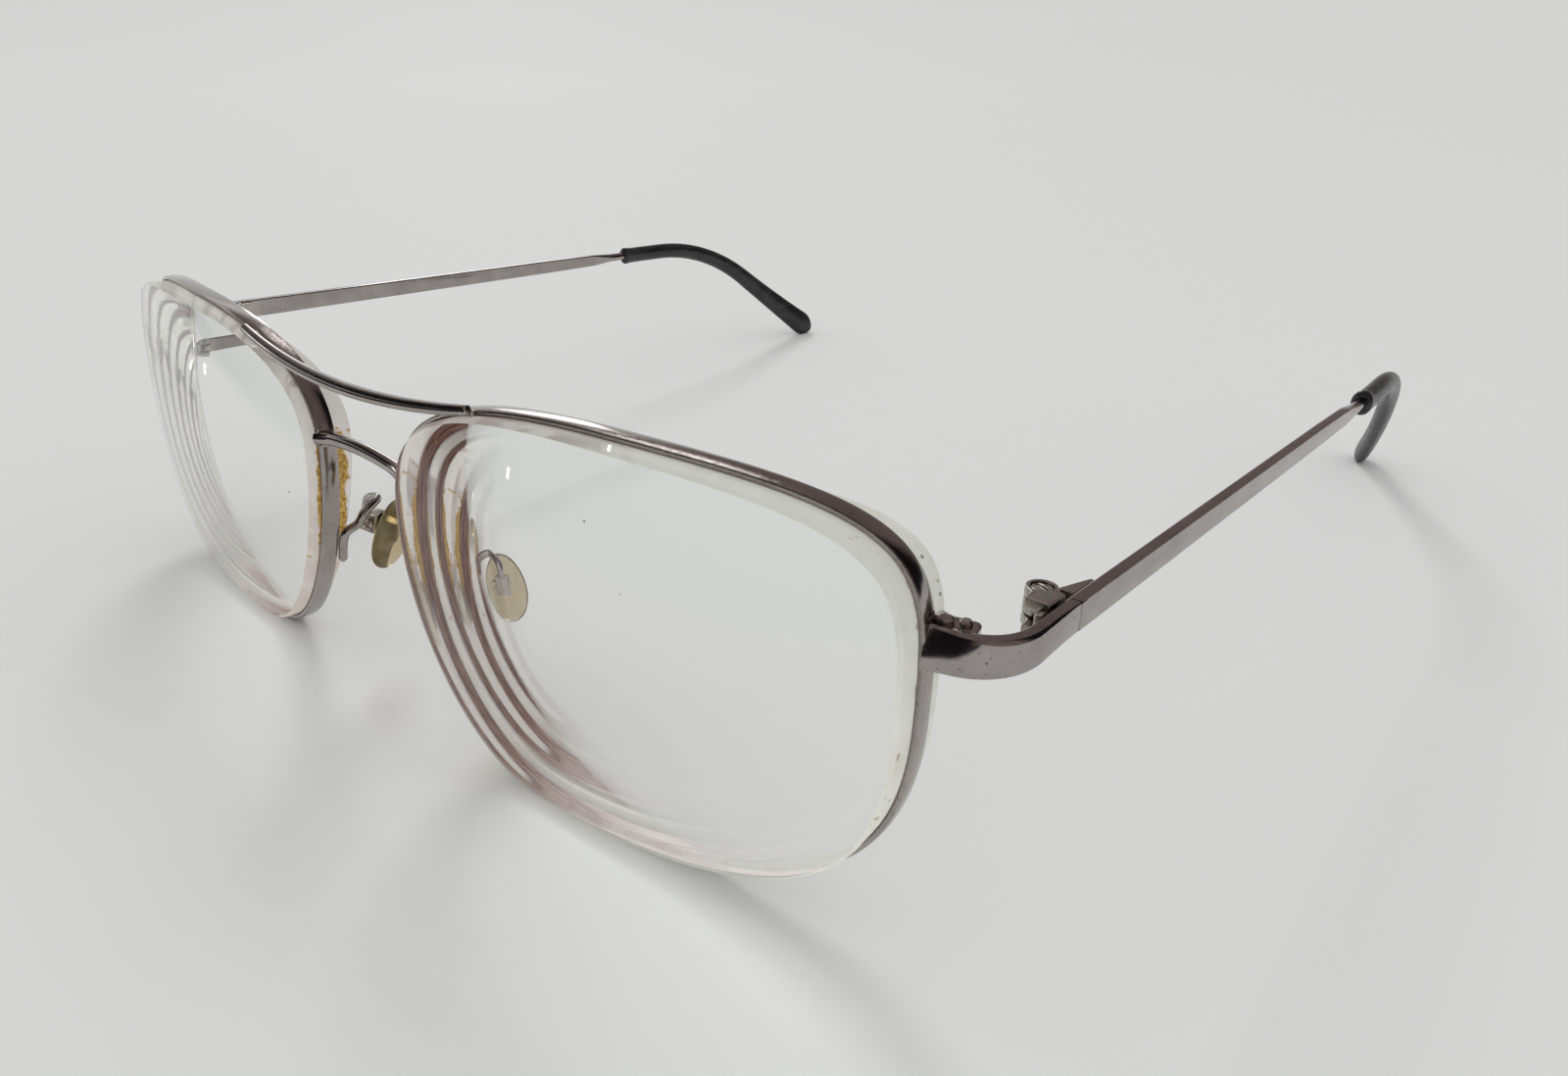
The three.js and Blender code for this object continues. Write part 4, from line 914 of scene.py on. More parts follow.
# %% [markdown]
# ## End pieces
# A strip leaves the rim's front, bends back in an even curve and ends at the seam with the temple.
# Its front face is crowned and leans back at the rim, and turns upright and flat in the bend, so that
# it mirrors the dark room and then the pale table in one sweep. The path is straight, arc, straight;
# the section is worked out at every station from the same few sizes.

# %% End piece section
END_RAKE, END_BEND, END_LAP, END_PROUD = math.radians(14), 5.2, 0.4, 0.15
END_TALL, STRIP_TALL, STRIP_EDGE = 3.5, 2.6, 0.2
FRONT_POINTS, ROUND_POINTS = 17, 5


def crowned_section(thick, tall, crown_depth, shoulder, corner):
    """Strip sections: front bowed back by crown * (height / half height)^2, flat back, round corners."""
    t, h, bow, top = (np.asarray(value)[:, None] for value in (thick / 2, tall / 2, crown_depth, shoulder))
    rise = np.linspace(0, 1, FRONT_POINTS)[None] * (2 * h - corner - top) - h + corner
    edge_bow = bow * ((h - corner) / h) ** 2
    top_bow = bow * ((h - top) / h) ** 2
    q = np.linspace(0, math.pi / 2, ROUND_POINTS)[None]
    parts = [
        (-t + bow * (rise / h) ** 2, rise),
        (-t + top_bow + top * (1 - np.cos(q)), h - top + top * np.sin(q)),
        (t - corner + corner * np.sin(q), h - corner + corner * np.cos(q)),
        (t - corner + corner * np.cos(q), -h + corner - corner * np.sin(q)),
        (-t + edge_bow + corner * (1 - np.sin(q)), -h + corner - corner * np.cos(q)),
    ]
    return np.concatenate([np.stack(np.broadcast_arrays(a, b), -1) for a, b in parts], 1)


edge_wear = np.tile(np.sin(np.linspace(0, math.pi, ROUND_POINTS)), 4)
crowned_wear = np.concatenate([np.zeros(FRONT_POINTS), edge_wear])
print("strip section:", len(crowned_wear), "points")

# %% End piece path
END_STEPS = (16, 40, 12)  # sections along the straight part, the bend and the tail

strip_start = np.array([rim_side[0] - END_LAP, rim_side[1] + STRIP_THICK / 2 - END_PROUD, split_height])
rake_along = np.array([math.cos(END_RAKE), math.sin(END_RAKE)])
rake_across = np.array([-math.sin(END_RAKE), math.cos(END_RAKE)])
straight = (strip_x - strip_start[0] - END_BEND * (1 - rake_along[1])) / rake_along[0]
bend = END_BEND * (math.pi / 2 - END_RAKE)
tail = seam_y - strip_start[1] - straight * rake_along[1] - END_BEND * rake_along[0]
run = np.concatenate([
    np.linspace(0, straight, END_STEPS[0]), straight + np.linspace(0, bend, END_STEPS[1])[1:],
    straight + bend + np.linspace(0, tail, END_STEPS[2])[1:],
])
heading = END_RAKE + np.clip((run - straight) / END_BEND, 0, math.pi / 2 - END_RAKE)
before_bend = np.minimum(run, straight)
strip_xs = strip_start[0] + before_bend * rake_along[0] + END_BEND * (np.sin(heading) - rake_along[1])
strip_ys = (
    strip_start[1] + before_bend * rake_along[1] + END_BEND * (rake_along[0] - np.cos(heading))
    + np.maximum(0, run - straight - bend)
)
back_share = (strip_ys - strip_start[1]) / (seam_y - strip_start[1])
lift = END_DROP * back_share**2 * (3 - 2 * back_share)
end_centres = np.stack([strip_xs, strip_ys, split_height + lift], -1)
print("end piece:", round(float(run[-1]), 1), "mm along its path")

# %% End pieces
END_CROWN = (0.06, 0.35)  # at the seam and at the rim
END_LEAN = math.radians(15)  # front face leans back at the rim
END_SHOULDER = (0.25, 0.55)  # round of its upper front edge, at the ends and between them
END_FACING = 0.6  # share of the bend past which lean and crown have gone
END_SLANT = 1.6  # length over which the strip's end follows the rim's side

temple_side = on_rim(np.linspace(0, top_to_bottom, 2000), 0.0, 0.0)[::-1]


def rim_x(height):
    """Outermost X of the rim's temple side at a height."""
    return np.interp(height, temple_side[:, 2], temple_side[:, 0])


section_turn = np.where(run < straight, END_RAKE * run / straight, heading)
facing = np.clip(1 - run / (straight + END_FACING * bend), 0, 1)
lean_back = (END_LEAN * facing**1.3)[:, None]
level_across = np.stack([-np.sin(section_turn), np.cos(section_turn), 0 * run], -1)
upright = np.array([0, 0, 1.0])
end_tall = END_TALL + (STRIP_TALL - END_TALL) * np.sqrt(back_share)
end_crown = END_CROWN[0] + (END_CROWN[1] - END_CROWN[0]) * facing
shoulder_swell = np.sin(math.pi * np.minimum(1, back_share * 1.1))
end_shoulder = END_SHOULDER[0] + (END_SHOULDER[1] - END_SHOULDER[0]) * shoulder_swell
end_grid = sweep(
    end_centres,
    level_across * np.cos(lean_back) - upright * np.sin(lean_back),
    level_across * np.sin(lean_back) + upright * np.cos(lean_back),
    crowned_section(0 * run + STRIP_THICK, end_tall, end_crown, end_shoulder, STRIP_EDGE),
)
slant = np.clip(1 - run / END_SLANT, 0, 1)[:, None]
end_grid[..., 0] += slant * (rim_x(end_grid[..., 2]) - rim_side[0])
end_wear = np.tile(crowned_wear, len(run))
add_pair("end_piece", [(*shell(end_grid), end_wear, 0)], [gunmetal], "front")

# %% [markdown]
# ## Closing blocks and their screws
# Behind each end piece two small blocks sit on the ends of the split rim. A screw from below pulls
# them together and so holds the lens. Each block is an outline with rounded edges, let into the rim
# as the braze does on the real one, and a drop of solder fills the corner above.

# %% Closing blocks
BLOCK_END, BLOCK_SCREW, BLOCK_DEPTH, BLOCK_TALL, BLOCK_ROUND = 3.4, 1.05, 1.9, 1.4, 0.65
BLOCK_EDGE = 0.16
LET_IN = 0.35  # block into the rim
FILLET_RADII = (0.85, 0.7, 0.55)


def behind_strip(along, across):
    """Place along the strip's straight part and behind its back face, seen from above."""
    return strip_start[:2] + rake_along * along + rake_across * (STRIP_THICK / 2 + RUNNING_GAP + across)


def beside_rim(x, across):
    """Place on the same line behind the strip at a given X."""
    line = behind_strip(0, across)
    return np.array([x, line[1] + (x - line[0]) * math.tan(END_RAKE)])


def closing_block(low, high):
    """Block outline from the rim to its rounded far corner, extruded between two heights."""
    near = rim_x(split_height + (low + high) / 2) - LET_IN
    corners = [
        beside_rim(near, 0), behind_strip(BLOCK_END, 0),
        behind_strip(BLOCK_END, BLOCK_DEPTH), beside_rim(near, BLOCK_DEPTH),
    ]
    shape = rounded(corners, [0.05, 0.2, BLOCK_ROUND, 0.05])
    return plate_shell(shape, low, high, BLOCK_EDGE, at=(0, 0, split_height))


gap_half = RIM_SPLIT / 2
block_far = gap_half + BLOCK_TALL  # outer face of each block from the split
fillet_at = beside_rim(rim_x(split_height + block_far) + 0.1, BLOCK_DEPTH * 0.45)
fillet = solder_drop((*fillet_at, split_height + block_far), FILLET_RADII, 0.8)
upper_shells = [closing_block(gap_half, block_far), fillet]
add_pair("closing_block_upper", upper_shells, [gunmetal], "front")
add_pair("closing_block_lower", [closing_block(-block_far, -gap_half)], [gunmetal], "front")

# %% Closing screws
CLOSING_SCREW_RADIUS, CLOSING_SCREW_PROUD = 0.5, 0.4
SCREW_HEAD_EXTRA, SCREW_HEAD_TALL = 0.3, 0.45

screw_at = np.array([*behind_strip(BLOCK_END - BLOCK_SCREW, BLOCK_DEPTH / 2), split_height])
screw_seat = -block_far - SCREW_GAP
screw_points, *screw_rest = turned_screw(
    CLOSING_SCREW_RADIUS, CLOSING_SCREW_RADIUS + SCREW_HEAD_EXTRA, block_far + CLOSING_SCREW_PROUD,
    screw_seat, screw_seat - SCREW_HEAD_TALL, slot_width=0.24, slot_depth=0.2,
)
add_pair("closing_screw", [(screw_points + screw_at, *screw_rest)], [steel], "front")

# %% [markdown]
# ## Hinges
# Two outer knuckles are brazed inside the end piece, one middle knuckle inside the temple, and a
# slotted screw sunk in the upper knuckle runs through all three. Each knuckle is an outline of a
# barrel with its arm, extruded round a bore, with a counterbore for the screw's head.

# %% Hinge leaves
BARREL_TALL, KNUCKLE_TALL, HINGE_SCREW_RADIUS = 3.2, 1.05, 0.55
FRONT_LEAF_LENGTH, TEMPLE_LEAF_LENGTH, LEAF_TALL = 2.2, 3.4, 2.2
LEAF_WEDGE = (1.4, 0.3)  # thickness behind the barrel and at the far end
BARREL_ARC, BARREL_POINTS = (12, 258), 56  # degrees of the barrel that its arm leaves free
KNUCKLE_EDGE, PLATE_EDGE = 0.12, 0.08

arm_reach = leaf_outer - hinge[0]
barrel_arc = np.radians(np.linspace(*BARREL_ARC, BARREL_POINTS))
barrel = BARREL_RADIUS * np.stack([np.cos(barrel_arc), np.sin(barrel_arc)], -1)
front_length = BARREL_RADIUS + RUNNING_GAP + FRONT_LEAF_LENGTH / 2
front_arm = rounded([(-0.1, -front_length), (arm_reach, -front_length), (arm_reach, 0.05)], 0.12)
front_knuckle = np.vstack([barrel, front_arm])
bore, sink = HINGE_SCREW_RADIUS + SCREW_GAP, HINGE_SCREW_RADIUS + SCREW_HEAD_EXTRA + SCREW_GAP
barrel_top, knuckle_top = BARREL_TALL / 2, KNUCKLE_TALL / 2
gap_top = knuckle_top + RUNNING_GAP
head_floor = barrel_top - SCREW_HEAD_TALL
upper_bore = [(sink, barrel_top), (sink, head_floor), (bore, head_floor), (bore, gap_top)]
lower_bore = [(bore, -gap_top), (bore, -barrel_top)]
plate_y = -BARREL_RADIUS - RUNNING_GAP
leaf_plate = rounded([
    (arm_reach - LEAF_THICK, plate_y - FRONT_LEAF_LENGTH), (arm_reach, plate_y - FRONT_LEAF_LENGTH),
    (arm_reach, plate_y), (arm_reach - LEAF_THICK, plate_y),
], [0.3, 0.05, 0.05, 0.2])
add_pair("hinge_front_leaf", [
    plate_shell(front_knuckle, gap_top, barrel_top, KNUCKLE_EDGE, hinge, upper_bore),
    plate_shell(front_knuckle, -barrel_top, -gap_top, KNUCKLE_EDGE, hinge, lower_bore),
    plate_shell(leaf_plate, -LEAF_TALL / 2, LEAF_TALL / 2, PLATE_EDGE, hinge),
], [steel], "front")

# %% Temple leaves and hinge screws
LEAF_EDGE = 0.1

wedge_y = BARREL_RADIUS + RUNNING_GAP
wedge_end = wedge_y + LEAF_THICK
temple_arm = rounded([(arm_reach, -0.05), (arm_reach, wedge_end), (-0.1, wedge_end)], 0.12)
temple_knuckle = np.vstack([temple_arm, (barrel * (1, -1))[::-1]])
wedge = rounded([
    (arm_reach, wedge_y), (arm_reach, wedge_y + TEMPLE_LEAF_LENGTH),
    (arm_reach - LEAF_WEDGE[1], wedge_y + TEMPLE_LEAF_LENGTH), (arm_reach - LEAF_WEDGE[0], wedge_y),
], [0.05, 0.05, 0.12, 0.15])
middle_bore = [(bore, knuckle_top), (bore, -knuckle_top)]
add_pair("hinge_temple_leaf", [
    plate_shell(temple_knuckle, -knuckle_top, knuckle_top, LEAF_EDGE, hinge, middle_bore),
    plate_shell(wedge, -LEAF_TALL / 2, LEAF_TALL / 2, LEAF_EDGE, hinge),
], [steel], "arm")
pin_points, *pin_rest = turned_screw(
    HINGE_SCREW_RADIUS, HINGE_SCREW_RADIUS + SCREW_HEAD_EXTRA, -barrel_top,
    head_floor + SCREW_GAP, barrel_top - SCREW_GAP, slot_width=0.3, slot_depth=0.22,
)
add_pair("hinge_screw", [(pin_points + hinge, *pin_rest)], [steel], "front")

# %% [markdown]
# ## Temples
# A flat strip with crisp but softened edges narrows over its length, turns into a round wire at the
# neck and disappears into the tip. Rectangle and circle are two outlines with matching points, so
# the neck is a blend from one to the other.

# %% Temples
TEMPLE_LENGTH, TEMPLE_TALL_BACK = 79.0, 2.2
NECK_LENGTH, NECK_TALL, NECK_STUB, NECK_RADIUS = 9.0, 2.0, 2.2, 0.7
INSIDE_TIP = 1.5  # how far the neck runs into the tip
END_SOFT = 0.12  # length over which the strip's front end is rounded
TEMPLE_STEPS = (4, 60, 30)  # sections at the rounded end, along the strip and along the neck

neck_start, neck_end = TEMPLE_LENGTH - NECK_LENGTH, TEMPLE_LENGTH - NECK_STUB
temple_run = np.concatenate([
    RUNNING_GAP + END_SOFT * np.linspace(0, 1, TEMPLE_STEPS[0]), np.linspace(1, neck_start, TEMPLE_STEPS[1]),
    np.linspace(neck_start, TEMPLE_LENGTH + INSIDE_TIP, TEMPLE_STEPS[2])[1:],
])
taper_at = [RUNNING_GAP, TEMPLE_LENGTH - 2 * NECK_LENGTH, neck_start]
temple_tall = np.interp(temple_run, taper_at, [STRIP_TALL, TEMPLE_TALL_BACK, NECK_TALL])
to_wire = np.clip((temple_run - neck_start) / (neck_end - neck_start), 0, 1)
to_wire = (to_wire**2 * (3 - 2 * to_wire))[:, None, None]
soft_end = np.clip((temple_run - RUNNING_GAP) / END_SOFT, 0, 1)
soft_end = STRIP_EDGE * (1 - np.sqrt(soft_end * (2 - soft_end)))
flat_sections = np.stack([
    box_outline(STRIP_THICK - draw, tall - draw, STRIP_EDGE) for tall, draw in zip(temple_tall, soft_end)
])
wire_section = NECK_RADIUS * unit(box_outline(1, 1, SOFT_CUT))
temple_sections = flat_sections * (1 - to_wire) + wire_section * to_wire
temple_centres = np.stack([0 * temple_run + strip_x, seam_y + temple_run, 0 * temple_run + END_HEIGHT], -1)
temple_grid = sweep(temple_centres, np.array([1.0, 0, 0]), np.array([0, 0, 1.0]), temple_sections)
temple_wear = np.tile(corner_wear(4), len(temple_run))
add_pair("temple", [(*shell(temple_grid), temple_wear, 0)], [gunmetal], "arm")

# %% [markdown]
# ## Tips
# A black moulding slides over the end of each temple and bends down behind the ear. Its path is
# level, then an even bend, then a straight tail that leans towards the head. An oval is carried
# along that path: a small collar at the mouth, a paddle near the end, and a rounded tip.

# %% Tip sizes
TIP_STRAIGHT, TIP_BEND, TIP_TAIL, TIP_DROP = 10.0, 38.0, 22.5, math.radians(37)
TIP_INSET, TIP_THICK, TIP_TALL, TIP_PADDLE, TIP_ROUND = 8.0, 2.5, 2.9, 5.2, 3.0
TIP_MOUTH, TIP_COLLAR = (2.0, 2.3), (2.6, 3.2)  # thick, tall
COLLAR_AT, COLLAR_END = 0.5, 2.5
TIP_STEPS, TIP_SIDES = (6, 8, 90, 14), 40  # sections of mouth, collar, length and round end

tip_bend_length = TIP_BEND * TIP_DROP
tip_length = TIP_STRAIGHT + tip_bend_length + TIP_TAIL
paddle_run = tip_length - TIP_ROUND
end_turn = np.linspace(0, math.pi / 2, TIP_STEPS[3])[1:-1]
tip_run = np.concatenate([
    COLLAR_AT * (1 - np.cos(np.linspace(0, math.pi / 2, TIP_STEPS[0]))),
    np.linspace(COLLAR_AT, COLLAR_END, TIP_STEPS[1])[1:],
    np.linspace(COLLAR_END, paddle_run, TIP_STEPS[2])[1:], paddle_run + TIP_ROUND * np.sin(end_turn),
])
along = np.clip(tip_run / paddle_run, 0, 1)
tip_tall = TIP_TALL + (TIP_PADDLE - TIP_TALL) * along**3
collar = np.clip((COLLAR_END - tip_run) / (COLLAR_END - COLLAR_AT), 0, 1) ** 2
tip_size = np.stack([
    TIP_THICK + (TIP_COLLAR[0] - TIP_THICK) * collar, tip_tall + (TIP_COLLAR[1] - TIP_TALL) * collar
], -1)
mouth = np.clip(1 - tip_run / COLLAR_AT, 0, 1)[:, None] ** 2
tip_size = tip_size * (1 - mouth) + np.array(TIP_MOUTH) * mouth
closing = np.ones_like(tip_run)
closing[-len(end_turn):] = np.cos(end_turn)
tip_size *= np.stack([np.sqrt(closing), closing], -1)
print("tip", round(tip_length, 1), "mm along its path")


# %% Tips
def tip_path(run_along):
    """Level, then turning by run / bend radius up to the drop, then straight, with a square-law inset."""
    turn = np.clip((run_along - TIP_STRAIGHT) / TIP_BEND, 0, TIP_DROP)
    after = np.maximum(0, run_along - TIP_STRAIGHT - tip_bend_length)
    back = np.minimum(run_along, TIP_STRAIGHT) + TIP_BEND * np.sin(turn) + after * np.cos(turn)
    down = TIP_BEND * (1 - np.cos(turn)) + after * np.sin(turn)
    inset = TIP_INSET * (run_along / tip_length) ** 2
    place = np.stack([strip_x - inset, seam_y + TEMPLE_LENGTH + back, END_HEIGHT - down], -1)
    return place, np.stack([0 * turn, np.sin(turn), np.cos(turn)], -1)


tip_centres, tip_up = tip_path(tip_run)
tip_grid = sweep(tip_centres, np.array([1.0, 0, 0]), tip_up, circle(0.5, TIP_SIDES) * tip_size[:, None])
tip_shell = shell(tip_grid, poles=(None, tip_path(np.array(tip_length))[0]))
add_pair("temple_tip", [(*tip_shell, 0.0, 0)], [tip_black], "arm")

# %% [markdown]
# ## Nose pads
# Each pad is a soft oval cushion on a small box, turned to the side of the nose. Its middle line
# runs from a flat back over a full rim to a gently domed face, and that line is a smooth curve
# through a few points, carried round an oval that is wider below. Pads are kept in their own frame:
# pivot at 0, X across, Y up, Z to the nose.

# %% Pad frame and smooth curves
PAD_SPLAY, PAD_FLARE = math.radians(30), math.radians(17)

pad_pivot = own(joints["left_pad_rock"]["pos_m"])
pad_face = unit([-math.cos(PAD_SPLAY), math.sin(PAD_SPLAY), -math.sin(PAD_FLARE)])
pad_wide = unit(np.cross((0, 0, 1), pad_face))
pad_long = np.cross(pad_face, pad_wide)


def from_pad(points):
    """Pad frame to own frame: pivot + x * across + y * up + z * face."""
    return pad_pivot + np.asarray(points, float) @ np.array([pad_wide, pad_long, pad_face])


def between(s, low, high, first, last):
    """Straight blend of two points by where s lies between two knots."""
    return (high - s) / (high - low) * first + (s - low) / (high - low) * last


def smooth_line(points, steps):
    """Centripetal Catmull-Rom curve: knots spaced by the root of the distances, pairs blended three times."""
    points = np.asarray(points, float)
    padded = np.vstack([2 * points[0] - points[1], points, 2 * points[-1] - points[-2]])
    knots = np.concatenate([[0], np.cumsum(np.sqrt(np.linalg.norm(np.diff(padded, axis=0), axis=1)))])
    curve = []
    for k in range(len(points) - 1):
        p, t = padded[k:k + 4], knots[k:k + 4]
        s = np.linspace(t[1], t[2], steps, endpoint=k == len(points) - 2)[:, None]
        a = [between(s, t[j], t[j + 1], p[j], p[j + 1]) for j in range(3)]
        b = [between(s, t[j], t[j + 2], a[j], a[j + 1]) for j in range(2)]
        curve.append(between(s, t[1], t[2], b[0], b[1]))
    return np.vstack(curve)


print("pad pivot", np.round(pad_pivot, 2))

# %% Pads
PAD_LENGTH, PAD_WIDTH, PAD_THICK, PAD_OFF, PAD_DROP, PAD_TAPER = 8.8, 7.0, 2.2, 1.45, 0.8, 0.1
PAD_PROFILE = [(0.05, 0), (0.6, 0), (0.9, 0.12), (1, 0.4), (0.95, 0.7), (0.75, 0.92), (0.4, 1), (0.04, 1.02)]
PAD_STEPS, PAD_SIDES = 7, 72  # for each stretch of the profile, and round the pad

profile = smooth_line(PAD_PROFILE, PAD_STEPS)
pad_turn = np.linspace(0, 2 * math.pi, PAD_SIDES, endpoint=False)
pad_half = PAD_WIDTH / 2 * (1 - PAD_TAPER * np.sin(pad_turn))
pad_grid = np.stack(np.broadcast_arrays(
    profile[:, :1] * pad_half * np.cos(pad_turn),
    profile[:, :1] * PAD_LENGTH / 2 * np.sin(pad_turn) - PAD_DROP,
    PAD_OFF + PAD_THICK * profile[:, 1:],
), -1)
pad_poles = [from_pad((0, -PAD_DROP, PAD_OFF + PAD_THICK * profile[end, 1])) for end in (0, -1)]
pad_shell = shell(from_pad(pad_grid), poles=pad_poles)
pads = add_pair("nose_pad", [(*pad_shell, 0.0, 0)], [pad_amber], "pad")

# %% [markdown]
# ## Pad boxes and screws
# The pad's metal tongue sits in a little box of folded sheet, held by a cross screw. The box is a U
# extruded along the pad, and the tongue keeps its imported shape, because the box and pad hide it.

# %% Pad boxes and screws
LUG_THICK, LUG_TALL, BOX_WALL, BOX_TALL, BOX_LIP = 0.9, 1.5, 0.45, 2.3, 0.75
PAD_SCREW_RADIUS, PAD_SCREW_HEAD = 0.35, 0.65

box_half = LUG_THICK / 2 + RUNNING_GAP + BOX_WALL
box_floor = LUG_TALL / 2 + RUNNING_GAP
box_in = box_half - BOX_WALL
box_shape = rounded([
    (box_half, -box_floor - BOX_WALL), (box_half, BOX_LIP), (box_in, BOX_LIP), (box_in, -box_floor),
    (-box_in, -box_floor), (-box_in, BOX_LIP), (-box_half, BOX_LIP), (-box_half, -box_floor - BOX_WALL),
], [0.4, 0.12, 0.12, 0.1, 0.1, 0.12, 0.12, 0.4])
box_grid, box_wear, _ = plate(box_shape, -BOX_TALL / 2, BOX_TALL / 2, 0.1)
box_points, box_faces = shell(from_pad(box_grid[..., [0, 2, 1]]))
add_pair("pad_box", [(box_points, box_faces, box_wear, 0)], [steel], "front")
cross_seat = box_half + SCREW_GAP
cross_points, *cross_rest = turned_screw(
    PAD_SCREW_RADIUS, PAD_SCREW_HEAD, -cross_seat, cross_seat, cross_seat + SCREW_HEAD_TALL,
    slot_width=0.22, slot_depth=0.2,
)
add_pair("pad_screw", [(from_pad(cross_points[:, [2, 1, 0]]), *cross_rest)], [steel], "front")

# %% [markdown]
# ## Pad arms
# A wire runs up the back of the rim, passes the thick lens edge, arches over towards the nose and
# comes down on the back of the box. The route is a smooth curve through a few places on the real
# pieces, and a circle is carried along it.

# %% Pad arms
ARM_RADIUS, ARM_FOOT, ARM_FOOT_LOW, ARM_OUT, ARM_CLIMB, ARM_LEG = 0.5, 4.0, 7.2, 0.1, (1.0, 2.2), 1.1
ARM_ARCH = (-2.5, -0.2, 0.8)  # top of the arch from the leg
ARM_STEPS, ARM_SIDES = 24, 24  # for each stretch of the route, and round the wire
ARM_BLUNT = (0.02, 0.15)  # share of its length over which the foot fills out, and its least area
ARM_SUNK = 0.2  # end of the wire below the box's top


def nasal_share(climb):
    """Share of the outline on its nasal side, a climb above the foot's lower end."""
    return share_at_height(climb - ARM_FOOT_LOW, top_to_bottom, top_to_nose)


arm_clear = ARM_RADIUS + SOLDER
arm_depth = RIM_DEPTH + arm_clear
arm_beside, arm_behind = (nasal_share(ARM_FOOT + climb) for climb in ARM_CLIMB)
lens_back = back_depth(*outline(arm_behind)[0])
arm_wall, arm_seat = -box_floor - BOX_WALL / 2, BOX_TALL / 2
arm_leg = from_pad((0, arm_seat + SOLDER + ARM_LEG, arm_wall))
arm_route = smooth_line([
    on_rim(nasal_share(0), ARM_OUT, arm_depth), on_rim(nasal_share(ARM_FOOT), ARM_OUT, arm_depth),
    on_rim(arm_beside, ARM_OUT, lens_back), on_rim(arm_behind, 0.0, lens_back + arm_clear),
    arm_leg + np.array(ARM_ARCH), arm_leg, from_pad((0, arm_seat - ARM_SUNK, arm_wall)),
], ARM_STEPS)
arm_along = unit(np.gradient(arm_route, axis=0))
arm_knee = arm_route[5 * ARM_STEPS // 2]
arm_plane = unit(np.cross(arm_knee - arm_route[0], arm_route[-1] - arm_route[0]))
arm_across = unit(arm_plane - arm_along * (arm_along @ arm_plane)[:, None])
arm_thick = ARM_RADIUS * np.sqrt(np.clip(np.linspace(0, 1, len(arm_route)) / ARM_BLUNT[0], ARM_BLUNT[1], 1))
arm_sections = arm_thick[:, None, None] * circle(1, ARM_SIDES)
arm_grid = sweep(arm_route, arm_across, np.cross(arm_along, arm_across), arm_sections)
add_pair("pad_arm", [(*shell(arm_grid), 0.1, 0)], [gunmetal], "front")

# %% [markdown]
# ## Table
# The object stands on a wide pale table that curves up far away, like a studio sweep on all sides,
# so that no horizon shows from any angle. It is a surface of revolution: flat in the middle and a
# parabola outside.

# %% Table
FLAT_RADIUS, TABLE_RADIUS, TABLE_CURVE = 1.1, 4.0, 0.16  # metres; rise per square metre past the flat part
TABLE_MIDDLE, TABLE_RINGS, TABLE_SIDES = 0.02, 80, 96

table_out = np.linspace(TABLE_MIDDLE, TABLE_RADIUS, TABLE_RINGS)[:, None]
table_turn = np.linspace(0, 2 * math.pi, TABLE_SIDES, endpoint=False)[None]
table_grid = np.stack(np.broadcast_arrays(
    table_out * np.cos(table_turn), table_out * np.sin(table_turn),
    TABLE_CURVE * np.maximum(0, table_out - FLAT_RADIUS) ** 2,
), -1)
table_faces = grid_faces(*table_grid.shape[:2], False)[:, ::-1].tolist() + [list(range(table_grid.shape[1]))]
table_mesh = bpy.data.meshes.new("table")
table_mesh.from_pydata(table_grid.reshape(-1, 3).tolist(), [], table_faces)
table_mesh.shade_smooth()
add_object("table", table_mesh)
table_finish, table_tree, table_shader = new_material("table")
set_inputs(table_tree, table_shader, Base_Color=(0.75, 0.755, 0.75, 1), Roughness=0.8, Specular_IOR_Level=0.1)
table_mesh.materials.append(table_finish)
print("table:", len(table_faces), "faces")

# %% [markdown]
# ## Light
# A broad sun from behind, on the wearer's right, gives the shadow its direction, and an even pale
# world fills it. Two windows stand behind and beside the spectacles for the glints in metal and glass.
# They show only in reflections, because lamps so near would leave bright patches on the table.

# %% Windows and sun
SUN_POWER, SUN_SPREAD = 0.8, math.radians(16)


def bearing(azimuth, elevation, distance):
    """Place at an azimuth from +X, an elevation and a distance, in degrees and metres."""
    a, e = math.radians(azimuth), math.radians(elevation)
    return distance * np.array([math.cos(e) * math.cos(a), math.cos(e) * math.sin(a), math.sin(e)])


def aim(lamp, place):
    """Turn a lamp so that it shines from a place to the middle: rows right, up and back are its axes."""
    back = unit(place)
    right = unit(np.cross((0, 0, 1), back))
    axes = [right.tolist(), np.cross(back, right).tolist(), back.tolist()]
    lamp.rotation_euler = Matrix(axes).transposed().to_euler()


def add_window(name, place, size, power):
    """Square lamp that faces the middle of the table and shows in reflections alone."""
    data = bpy.data.lights.new(name, "AREA")
    data.size, data.energy = size, power
    window = add_object(name, data)
    window.location = place
    window.visible_diffuse = False
    aim(window, place)


add_window("back_window", bearing(146, 16, 2.4), size=0.5, power=2.2)
add_window("left_window", bearing(203, 7, 1.5), size=0.07, power=0.12)
sun = bpy.data.lights.new("key_sun", "SUN")
sun.energy, sun.angle = SUN_POWER, SUN_SPREAD
aim(add_object("key_sun", sun), bearing(140, 40, 1))
print("lamps:", len(bpy.data.lights))

# %% [markdown]
# ## Dark surroundings
# Polished metal is all reflection, and in a room it also mirrors what is dark there. A wide canopy
# stands for the room. It is brown, and black where a dark reflection is wanted. Its lower edge rises
# and falls around the table, so that metal shows the dark above and the pale table below. A flat
# apron on the table in front carries the dark down to the end piece. Both fade in from their edges,
# and only reflections see them.

